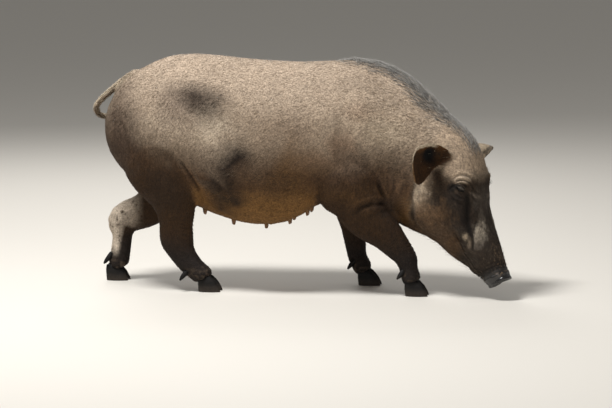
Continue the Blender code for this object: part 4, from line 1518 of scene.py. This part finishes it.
    def long_hair(self) -> dict[str, dict[str, np.ndarray]]:
        """Where the crest, the tail's fringe, the ears' fringes and the whiskers grow.

        Returns:
            The roots of each of them, by name.
        """
        points, normals = Mesher.surface(self.skin.obj.data)
        share = self.skin.share
        body, head = to_body(points), to_head(points)
        ones = np.ones(len(points))
        x, z = body[:, 0], head[:, 2]
        grown = {}

        def grow(name: str, full: np.ndarray, length: np.ndarray | float, width: float,
                 lift: float) -> None:
            """Sow one kind of hair; each kind draws from a seed of its own."""
            grown[name] = self.scatter(full, {"length": length * ones, "width": width * ones,
                                              "lift": lift * ones}, 11 + len(grown))

        off = np.abs(body[:, 1] - Markings.spine(body))
        up = step(normals[:, 2], 0.15, 0.55)
        along = step(x, 0.09, 0.20) * step(z - 0.55 * (0.46 - head[:, 0]), 0.36, 0.40)
        crest = along * step(off, 0.046, 0.006) * up * (1 - share[Region.EAR])
        back = step(x, -0.42, -0.30) * step(x, 0.16, 0.04) * step(off, 0.030, 0.004) * up
        tall = 0.016 + 0.020 * bell(x - 0.27, 0.14)
        grow("crest", crest * 95_000 + back * 6_000, np.where(crest > 0.02, tall, 0.015),
             0.00085, 0.13)

        brush = 0.010 + 0.028 * step(x, -0.535, -0.510) * step(body[:, 2], 0.46, 0.445)
        grow("tail_fringe", share[Region.TAIL] * step(x, -0.42, -0.45) * 130_000, brush,
             0.00070, 0.14)

        chin = step(z - 0.9 * (0.52 - head[:, 0]), 0.10, 0.03)
        jaw = share[Region.HEAD] * step(z, 0.24, 0.16) * chin
        lip = share[Region.HEAD] * step(z, 0.15, 0.10)
        brow = share[Region.HEAD] * bell(z - 0.318, 0.012) * step(head[:, 0], 0.44, 0.47)
        beard = (jaw * 4_000 + lip * 7_000 + brow * 12_000) * (1 - self.markings.bare)
        grow("whiskers", beard, 0.012 + 0.004 * jaw, 0.00045, 0.42)

        rims, lash = np.zeros(len(points)), np.zeros(len(points))
        for side, axes in EARS.items():
            opening = from_head(axes.opening, places=False)[0]
            rims += share[Region.EAR] * side.holds(head) * bell(normals @ opening, 0.40)
            u, w, out = eye_axes(head * side.mirror)
            edge = (np.hypot(u, w) < 0.02) * (out > 0.005) * (np.abs(u) < 0.0105)
            lash += edge * bell(w - 0.0034, 0.0010)
        grow("ear_fringe", rims * 90_000, 0.0085, 0.00055, 0.35)
        grow("lashes", lash * 900_000, 0.0075, 0.00040, 0.75)
        return grown

    def stretches(self) -> dict[str, np.ndarray]:
        """Sort the roots into pieces, each small enough."""
        body, head = to_body(self.roots["place"]), to_head(self.roots["place"])
        grows = {region: self.roots["region"] == i for i, region in enumerate(Region)}
        front, fore = body[:, 0] > -0.15, body[:, 0] > -0.05
        trunk, leg = grows[Region.TRUNK], grows[Region.LEG]
        rows = {}
        for side in Side:
            half = (body[:, 1] < 0) == (side is Side.RIGHT)
            rows["coat_back_" + side.word] = trunk & half & ~front
            rows["coat_ribs_" + side.word] = trunk & half & front
            rows["coat_neck_" + side.word] = grows[Region.NECK] & (
                (head[:, 1] < 0) == (side is Side.RIGHT))
        rows["coat_head"] = grows[Region.HEAD] | grows[Region.SNOUT]
        rows["coat_legs_fore"] = leg & fore
        rows["coat_legs_hind"] = leg & ~fore
        rows["coat_ears_tail"] = grows[Region.EAR] | grows[Region.TAIL]
        return rows

    def unwrap(self) -> bpy.types.Object:
        """Lay out a coarse copy of the skin, whose maps give the tufts their places."""
        coarse = self.skin.obj.copy()
        coarse.data = self.skin.obj.data.copy()
        bpy.context.scene.collection.objects.link(coarse)
        apply_modifier(coarse, "DECIMATE", decimate_type="COLLAPSE", ratio=0.05)
        apply_modifier(coarse, "TRIANGULATE")
        return coarse

    def map_places(self, coarse: bpy.types.Object, places: np.ndarray) -> np.ndarray:
        """Unwrap the part of the skin that lies under some roots and find each root's place.

        Args:
            coarse: the coarse copy of the skin.
            places: the roots.

        Returns:
            One place on the map for each root.
        """
        mesh = coarse.data
        points, faces = Mesher.points(mesh), Mesher.triangles(mesh)
        tree = BVHTree.FromPolygons(points.tolist(), faces.tolist())
        found = np.array([tree.find_nearest(p)[2] for p in places.tolist()])
        used = np.zeros(len(faces), bool)
        used[found] = True
        patch = Mesher.make("patch", points, faces[used])
        with editing(patch):
            bpy.ops.uv.smart_project(angle_limit=math.radians(60), island_margin=0.004)
        maps = fetch(patch.data.uv_layers.active.data, "uv", 2).reshape(-1, 3, 2)
        rows = (np.cumsum(used) - 1)[found]
        a, b, c = (points[faces[found, k]] for k in range(3))
        v0, v1, v2 = b - a, c - a, places - a
        d00, d01, d11 = dot(v0, v0), dot(v0, v1), dot(v1, v1)
        d20, d21 = dot(v2, v0), dot(v2, v1)
        scale = np.maximum(d00 * d11 - d01 * d01, 1e-18)
        v = np.clip((d11 * d20 - d01 * d21) / scale, 0, 1)
        w = np.clip((d00 * d21 - d01 * d20) / scale, 0, 1)
        u = 1 - v - w
        mapped = sum(maps[rows, k] * share[:, None] for k, share in enumerate((u, v, w)))
        bpy.data.objects.remove(patch)
        return np.clip(mapped, 0.002, 0.998)

    @staticmethod
    def weave(name: str, tufts: dict[str, np.ndarray], maps: np.ndarray,
              bends: tuple[float, ...], patch: float = 0.003, sunk: float = 0.0004,
              narrowing: float = 0.35, ridge: float = 1.1) -> bpy.types.Object:
        """Model every tuft as a thin three-sided blade that bends down along the skin.

        Args:
            name: the piece's name.
            tufts: place, normal, lie, length, width, lift, sway, dark and light of each.
            maps: each tuft's place on the map.
            bends: how far along its length each ring after the root stands.
            patch: how wide a tuft's patch on the map is.
            sunk: how deep the root stands in the skin.
            narrowing: how much narrower a tuft gets towards its last ring.
            ridge: how high its back stands, in half widths.

        Returns:
            The piece.
        """
        n, t = tufts["normal"], tufts["lie"]
        s = np.cross(n, t)
        length, width = tufts["length"][:, None], tufts["width"][:, None]
        lift, sway = tufts["lift"][:, None], tufts["sway"][:, None]
        count, rings = len(n), (0.0, *bends)
        rows, shades = [], []
        for f in rings:
            arch = lift * length * (1.9 * f - 0.9 * f * f)
            middle = (tufts["place"] + t * length * f + n * (arch - sunk * (f == 0))
                      + s * sway * length * f * f)
            half = width * 0.5 * (1 - narrowing * f)
            rows += [middle + s * half, middle - s * half, middle + n * half * ridge]
            shades += [tufts["dark"] * (1 - f) + tufts["light"] * f] * 3
        rows.append(tufts["place"] + t * length + n * lift * length + s * sway * length)
        shades.append(tufts["light"])
        size = len(rows)
        points = np.stack(rows, axis=1).reshape(-1, 3)
        colours = np.stack(shades, axis=1).reshape(-1, 3)
        faces, flats = [], []
        last = 3 * (len(rings) - 1)
        for k, (a, b) in enumerate(((0, 2), (2, 1), (1, 0))):
            left, right = k / 3, (k + 1) / 3
            for ring in range(len(rings) - 1):
                low, high = rings[ring], rings[ring + 1]
                i = 3 * ring
                faces += [(i + a, i + b, i + 3 + b), (i + a, i + 3 + b, i + 3 + a)]
                flats += [((left, low), (right, low), (right, high)),
                          ((left, low), (right, high), (left, high))]
            faces.append((last + a, last + b, size - 1))
            flats.append(((left, rings[-1]), (right, rings[-1]), ((left + right) / 2, 1.0)))
        faces = (np.array(faces)[None] + (np.arange(count) * size)[:, None, None]).reshape(-1, 3)
        piece = Mesher.make(name, points, faces)
        Mesher.paint(piece.data, "marking", colours)
        flats = (np.array(flats) - 0.5) * patch
        maps = (maps[:, None, None, :] + flats[None]).reshape(-1, 2)
        layer = piece.data.uv_layers.new(name="OFBake")
        layer.data.foreach_set("uv", maps.astype(np.float32).ravel())
        return piece

    @staticmethod
    def vary(roots: dict[str, np.ndarray], rng: np.random.Generator,
             turn: float) -> dict[str, np.ndarray]:
        """Make tufts differ in length, width, lift and direction.

        Args:
            roots: what the scattering gave.
            rng: what draws the differences.
            turn: how far they turn aside, as a tangent.

        Returns:
            The tufts, with a sway for each.
        """
        count = len(roots["place"])
        tufts = dict(roots)
        tufts["length"] = roots["length"] * rng.uniform(0.70, 1.25, count)
        tufts["width"] = roots["width"] * rng.uniform(0.75, 1.20, count)
        tufts["lift"] = roots["lift"] * rng.uniform(0.5, 1.6, count)
        tufts["sway"] = rng.normal(0, 0.10, count)
        lie, normal = roots["lie"], roots["normal"]
        lie = lie + np.cross(normal, lie) * rng.normal(0, turn, count)[:, None]
        tufts["lie"] = unit(lie - normal * dot(lie, normal)[:, None])
        return tufts

    @staticmethod
    def long_shades(name: str, colour: np.ndarray,
                    rng: np.random.Generator) -> tuple[np.ndarray, np.ndarray]:
        """Root and tip colours of the long hair: slate in the crest, brown elsewhere.

        Args:
            name: which hair it is.
            colour: the skin's colour at each root.
            rng: what draws the differences.

        Returns:
            The roots' colours and the tips'.
        """
        # the ears' fringe is pale, in keeping with the painted highlight on the right ear's rim
        dark, light = {"crest": ("#474441", "#A3A09A"), "tail_fringe": ("#857460", "#DCCDB5"),
                       "whiskers": ("#2A221C", "#8C7B68"), "ear_fringe": ("#8A7963", "#CDBBA0"),
                       "lashes": ("#0D0B0A", "#1B1714")}[name]
        draw = rng.uniform(0.7, 1.3, len(colour))[:, None]
        return tone(dark) * draw, tone(light) * draw

    def shades(self, colour: np.ndarray, calm: np.ndarray,
               rng: np.random.Generator) -> tuple[np.ndarray, np.ndarray]:
        """Root and tip colours, most of them sandy at the tip and some dark all along.

        Args:
            colour: the skin's colour at each root.
            calm: how much less the bristles differ from the skin, from 0 to 1.
            rng: what draws the differences.

        Returns:
            The roots' colours and the tips'.
        """
        count = len(colour)
        level = colour.mean(axis=1, keepdims=True)
        black = rng.random(count)[:, None] < self.black
        tip = rng.uniform(0.92, 1.45, count)[:, None]
        tip = np.where(black, rng.uniform(0.35, 0.65, count)[:, None], tip)
        sandy = tone(self.sandy)
        light = colour * tip
        light = light + (sandy * level / sandy.mean() * tip - light) * 0.35
        dark = colour * np.where(black, 0.5, rng.uniform(0.65, 0.92, count)[:, None])
        even = 0.65 * calm[:, None]
        dark, light = dark + (colour - dark) * even, light + (colour - light) * even
        return np.clip(dark, 0.001, 0.9), np.clip(light, 0.001, 0.9)

    def build(self, material: bpy.types.Material) -> list[bpy.types.Object]:
        """Make every piece of the coat."""
        self.sow()
        coarse = self.unwrap()
        rng = np.random.default_rng(self.seed + 1)
        everything = self.vary(self.roots, rng, self.turn)
        everything["dark"], everything["light"] = self.shades(
            self.roots["colour"], step(to_body(self.roots["place"])[:, 0], 0.25, 0.05), rng)
        pieces = []

        def add(name: str, tufts: dict[str, np.ndarray], bends: tuple[float, ...]) -> None:
            """Make one piece of the coat and report it."""
            piece = self.weave(name, tufts, self.map_places(coarse, tufts["place"]), bends)
            piece.data.materials.append(material)
            log.info("%s: %d tufts", name, len(tufts["place"]))
            pieces.append(piece)

        for name, rows in self.stretches().items():
            add(name, {key: values[rows] for key, values in everything.items()}, (0.5,))
        for name, roots in self.long_hair().items():
            tufts = self.vary(roots, rng, self.long_turn)
            tufts["dark"], tufts["light"] = self.long_shades(name, roots["colour"], rng)
            add(name, tufts, (0.3, 0.65))
        bpy.data.objects.remove(coarse)
        return pieces


def join(tree: bpy.types.NodeTree, made: bpy.types.Node, links: dict[str | int, object]) -> None:
    """Join sockets to a node's inputs, or set the inputs' values.

    Args:
        tree: the node tree.
        made: the node.
        links: for each input, the socket to join to it or the value to set.
    """
    for name, value in links.items():
        if isinstance(value, bpy.types.NodeSocket):
            tree.links.new(value, made.inputs[name])
        else:
            made.inputs[name].default_value = value


def node(tree: bpy.types.NodeTree, kind: str, links: dict[str | int, object] | None = None,
         output: str | int = 0, **settings: object) -> bpy.types.NodeSocket:
    """Add a node with its settings and links.

    Args:
        tree: the node tree.
        kind: the node's type, without the words that all types start with.
        links: for each input, the socket to join to it or the value to set.
        output: which of its outputs is wanted.
        settings: the node's own values.

    Returns:
        That output.
    """
    made = tree.nodes.new("ShaderNode" + kind)
    for name, value in settings.items():
        setattr(made, name, value)
    join(tree, made, links or {})
    return made.outputs[output]


def fresh(name: str) -> tuple[bpy.types.Material, bpy.types.NodeTree, bpy.types.Node]:
    """Start a material with an empty Principled shader.

    Args:
        name: the material's name.

    Returns:
        The material, its node tree and its shader.
    """
    material = bpy.data.materials.new(name)
    material.use_nodes = True
    tree = material.node_tree
    return material, tree, tree.nodes["Principled BSDF"]


@dataclass(frozen=True)
class BoarHide:
    """Dry dusty pig skin with flat bristles; matt, with a fine grain, wet only at the nose."""

    roughness: float = 0.78
    wet_roughness: float = 0.19
    grain: float = 0.0042
    creases: float = 0.0065

    def make(self) -> bpy.types.Material:
        """Build the material."""
        material, tree, shader = fresh("boar_hide")
        where = node(tree, "TexCoord", output="Object")
        marking = node(tree, "Attribute", output="Color", attribute_name="marking")
        wet = node(tree, "Attribute", output="Fac", attribute_name="wet")
        # dust caught between bristles, in grains twice as coarse as real so that they show
        speck = node(tree, "TexNoise", {"Vector": where, "Scale": 1 / self.grain, "Detail": 3.0,
                                        "Roughness": 0.7}, "Fac")
        tint = node(tree, "MapRange", {"Value": speck, "From Min": 0.33, "From Max": 0.67,
                                       "To Min": 0.50, "To Max": 1.30})
        blotch = node(tree, "TexNoise", {"Vector": where, "Scale": 70.0, "Detail": 4.0}, "Fac")
        veil = node(tree, "MapRange", {"Value": blotch, "From Min": 0.3, "From Max": 0.7,
                                       "To Min": 0.88, "To Max": 1.10})
        both = node(tree, "Math", {0: tint, 1: veil}, operation="MULTIPLY")
        colour = node(tree, "VectorMath", {0: marking, "Scale": both}, operation="SCALE")
        dull = node(tree, "MapRange", {"Value": wet, "To Min": self.roughness,
                                       "To Max": self.wet_roughness})
        film = node(tree, "MapRange", {"Value": wet, "To Min": 0.20, "To Max": 0.75})
        # the fine net of creases between the bristles' roots
        net = node(tree, "TexVoronoi", {"Vector": where, "Scale": 1 / self.creases,
                                        "Randomness": 1.0}, "Distance", feature="DISTANCE_TO_EDGE")
        deep = node(tree, "MapRange", {"Value": net, "From Max": 0.25})
        first = node(tree, "Bump", {"Height": deep, "Strength": 0.35, "Distance": 0.0006})
        second = node(tree, "Bump", {"Height": speck, "Strength": 0.6, "Distance": 0.0012,
                                     "Normal": first})
        join(tree, shader, {"Base Color": colour, "Roughness": dull, "Specular IOR Level": film,
                            "Normal": second})
        return material


@dataclass(frozen=True)
class BoarBristle:
    """Stiff keratin hair, sandy with dust at the tips; a soft gloss along each tuft."""

    roughness: float = 0.62

    def make(self) -> bpy.types.Material:
        """Build the material."""
        material, tree, shader = fresh("boar_bristle")
        marking = node(tree, "Attribute", output="Color", attribute_name="marking")
        join(tree, shader, {"Base Color": marking, "Roughness": self.roughness,
                            "Specular IOR Level": 0.25})
        return material


@dataclass(frozen=True)
class WetEye:
    """A dark brown eye under a film of tears; near black, with one sharp highlight."""

    pupil: float = 0.0030
    iris: float = 0.0088

    def make(self) -> bpy.types.Material:
        """Build the material."""
        material, tree, shader = fresh("wet_eye")
        ring = node(tree, "Attribute", output="Fac", attribute_name="ring")
        where = node(tree, "TexCoord", output="Object")
        spokes = node(tree, "TexNoise", {"Vector": where, "Scale": 900.0}, "Fac")
        iris = node(tree, "Mix", {"Factor": spokes, 6: linear("#120B07"), 7: linear("#24160D")},
                    2, data_type="RGBA")
        pupil = node(tree, "MapRange", {"Value": ring, "From Min": self.pupil,
                                        "From Max": self.pupil + 0.0006})
        inner = node(tree, "Mix", {"Factor": pupil, 6: linear("#050404"), 7: iris}, 2,
                     data_type="RGBA")
        white = node(tree, "MapRange", {"Value": ring, "From Min": self.iris,
                                        "From Max": self.iris + 0.0012})
        colour = node(tree, "Mix", {"Factor": white, 6: inner, 7: linear("#1A1411")}, 2,
                      data_type="RGBA")
        join(tree, shader, {"Base Color": colour, "Roughness": 0.06, "IOR": 1.38,
                            "Specular IOR Level": 0.30, "Coat Weight": 0.25,
                            "Coat Roughness": 0.03})
        return material


@dataclass(frozen=True)
class HoofHorn:
    """Dark hoof horn, ringed as it grew and rubbed pale with dust low down."""

    ring: float = 0.0030
    dusty: float = 0.024  # how high the dust reaches

    def make(self) -> bpy.types.Material:
        """Build the material."""
        material, tree, shader = fresh("hoof_horn")
        where = node(tree, "TexCoord", output="Object")
        rings = node(tree, "TexWave", {"Vector": where, "Scale": 0.05 / self.ring,
                                       "Distortion": 2.0, "Detail": 2.0, "Detail Scale": 2.0},
                     "Fac", bands_direction="Z")
        grain = node(tree, "TexNoise", {"Vector": where, "Scale": 220.0, "Detail": 5.0}, "Fac")
        height = node(tree, "SeparateXYZ", {"Vector": where}, "Z")
        low = node(tree, "MapRange", {"Value": height, "From Min": self.dusty, "From Max": 0.0})
        dust = node(tree, "Math", {0: low, 1: grain}, operation="MULTIPLY")
        horn = node(tree, "Mix", {"Factor": rings, 6: linear("#0D0B0A"), 7: linear("#171412")},
                    2, data_type="RGBA")
        colour = node(tree, "Mix", {"Factor": dust, 6: horn, 7: linear("#4A4037")}, 2,
                      data_type="RGBA")
        dull = node(tree, "MapRange", {"Value": grain, "To Min": 0.38, "To Max": 0.75})
        both = node(tree, "Math", {0: rings, 1: grain}, operation="ADD")
        bump = node(tree, "Bump", {"Height": both, "Strength": 0.5, "Distance": 0.0006})
        join(tree, shader, {"Base Color": colour, "Roughness": dull, "Normal": bump,
                            "Specular IOR Level": 0.22})
        return material


@dataclass
class Eye:
    """A ball with a clear bulge over the iris."""

    side: Side
    radius: float = EYE_RADIUS - 0.0002
    cornea: float = 0.0085
    bulge: float = 0.05
    back: float = 0.02  # the ring of all that faces inwards, farther out than the iris

    def build(self, material: bpy.types.Material) -> bpy.types.Object:
        """Make the eye in its socket.

        Args:
            material: the wet eye's finish.

        Returns:
            The eye.
        """
        centre, gaze = eye_pose(self.side)
        deselect()
        bpy.ops.mesh.primitive_uv_sphere_add(segments=48, ring_count=32, radius=self.radius,
                                             location=(0, 0, 0))
        ball = bpy.context.object
        ball.name = "eyeball_" + self.side.word
        points = Mesher.points(ball.data)
        turn = np.array(Vector((0, 0, 1)).rotation_difference(Vector(gaze)).to_matrix())
        off = np.hypot(points[:, 0], points[:, 1])
        front = points[:, 2] > 0
        swell = 1 + self.bulge * step(off, self.cornea, 0.0) * front
        Mesher.store(ball.data, "ring", np.where(front, off, self.back))
        Mesher.put(ball.data, (points * swell[:, None]) @ turn.T + centre)
        smooth(ball)
        ball.data.materials.clear()
        ball.data.materials.append(material)
        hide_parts("eye_" + self.side.word)
        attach(ball, "root")
        return ball


@dataclass
class Horn:
    """A claw or dewclaw, with rounded edges and an uneven surface."""

    name: str
    bevel: float = 0.0016
    lumps: float = 0.00035
    rings: float = 0.00012
    pitch: float = 2100.0  # of the rings, in radians a metre

    def build(self, material: bpy.types.Material) -> bpy.types.Object:
        """Make it from its solid.

        Args:
            material: the horn's finish.

        Returns:
            The finished claw.
        """
        claw = Mesher.copy_node(self.name)
        claw.name = "horn_" + self.name
        apply_modifier(claw, "BEVEL", width=self.bevel, segments=2,
                       limit_method="ANGLE", angle_limit=math.radians(35))
        apply_modifier(claw, "SUBSURF", levels=2, render_levels=2)
        mesh = claw.data
        points, normals = Mesher.surface(mesh)
        z = points[:, 2]
        rise = self.lumps * Grain(51).rough(points, 0.006) + self.rings * np.cos(z * self.pitch)
        rise = rise * step(z, 0.001, 0.006)  # the sole stays flat
        Mesher.put(mesh, points + normals * rise[:, None])
        smooth(claw)
        claw.data.materials.append(material)
        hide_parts(self.name)
        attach(claw, "root")
        return claw


@dataclass
class Studio:
    """A plain pale floor, soft lights and the camera."""

    width: float = 612 * 0.0026  # of what the camera takes in
    centre: tuple[float, float, float] = (0.0158, 0.0, 0.221)  # of that, in the body's axes
    distance: float = 8.0
    azimuth: float = 8.0
    elevation: float = 7.0
    sensor: float = 36.0

    def build(self) -> None:
        """Lay the floor, hang the lights and aim the camera."""
        deselect()
        bpy.ops.mesh.primitive_plane_add(size=60.0, location=(0, 0, 0))
        floor = bpy.context.object
        floor.name = "floor"
        material, tree, shader = fresh("studio_floor")
        join(tree, shader, {"Base Color": linear("#D9D4CB"), "Roughness": 0.9})
        floor.data.materials.append(material)
        self.aim()
        self.light()

    def aim(self) -> None:
        """Place the camera a long way off, square to the middle of the picture."""
        scene = bpy.context.scene
        turn, rise = math.radians(self.azimuth), math.radians(self.elevation)
        back = Vector((math.sin(turn) * math.cos(rise), -math.cos(turn) * math.cos(rise),
                       math.sin(rise)))
        camera = bpy.data.objects.new("camera", bpy.data.cameras.new("camera"))
        scene.collection.objects.link(camera)
        camera.location = Vector(MIDDLE + np.array(self.centre)) + back * self.distance
        camera.rotation_mode = "QUATERNION"
        camera.rotation_quaternion = (-back).to_track_quat("-Z", "Y")
        camera.data.sensor_width = self.sensor
        camera.data.lens = self.sensor * self.distance / self.width
        camera.data.clip_end = 100.0
        scene.camera = camera

    def light(self) -> None:
        """A broad high key, a soft fill from the viewer's side and an even surround."""
        scene = bpy.context.scene
        scene.view_settings.view_transform = "Standard"
        for name, place, size, power in (
            ("key", (-0.9, -1.0, 3.2), 0.9, 132.0),
            ("fill", (2.0, -3.5, 1.2), 2.5, 16.0),
            ("rim", (-1.0, 2.6, 2.4), 1.6, 40.0),
        ):
            deselect()
            bpy.ops.object.light_add(type="AREA", location=place)
            lamp = bpy.context.object
            lamp.name = name
            lamp.data.size = size
            lamp.data.energy = power
            lamp.visible_camera = False
            aim = Vector((0.0, 0.0, 0.3)) - Vector(place)
            lamp.rotation_euler = aim.to_track_quat("-Z", "Y").to_euler()
        world = bpy.data.worlds.new("studio")
        world.use_nodes = True
        join(world.node_tree, world.node_tree.nodes["Background"],
             {"Color": linear("#EAE9E7"), "Strength": 0.30})
        scene.world = world


def main() -> None:
    """Build every piece in order and report it."""
    Studio().build()
    maker = Skin()
    skin = maker.build()
    skin.data.materials.append(BoarHide().make())
    names = [name for region in Region for name in region.value]
    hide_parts(*names)
    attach(skin, "root")
    markings = Markings(maker)
    markings.build()
    for piece in Coat(maker, markings).build(BoarBristle().make()):
        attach(piece, "root")
    wet = WetEye().make()
    for side in Side:
        log.info("%s", Eye(side).build(wet).name)
    horn = HoofHorn().make()
    for foot in FEET:
        for half in ("a", "b"):
            Horn("claw_" + foot + "_" + half).build(horn)
            Horn("dewclaw_" + foot + "_" + half, 0.0008).build(horn)
        log.info("horn of %s", foot)


if __name__ == "__main__":
    main()
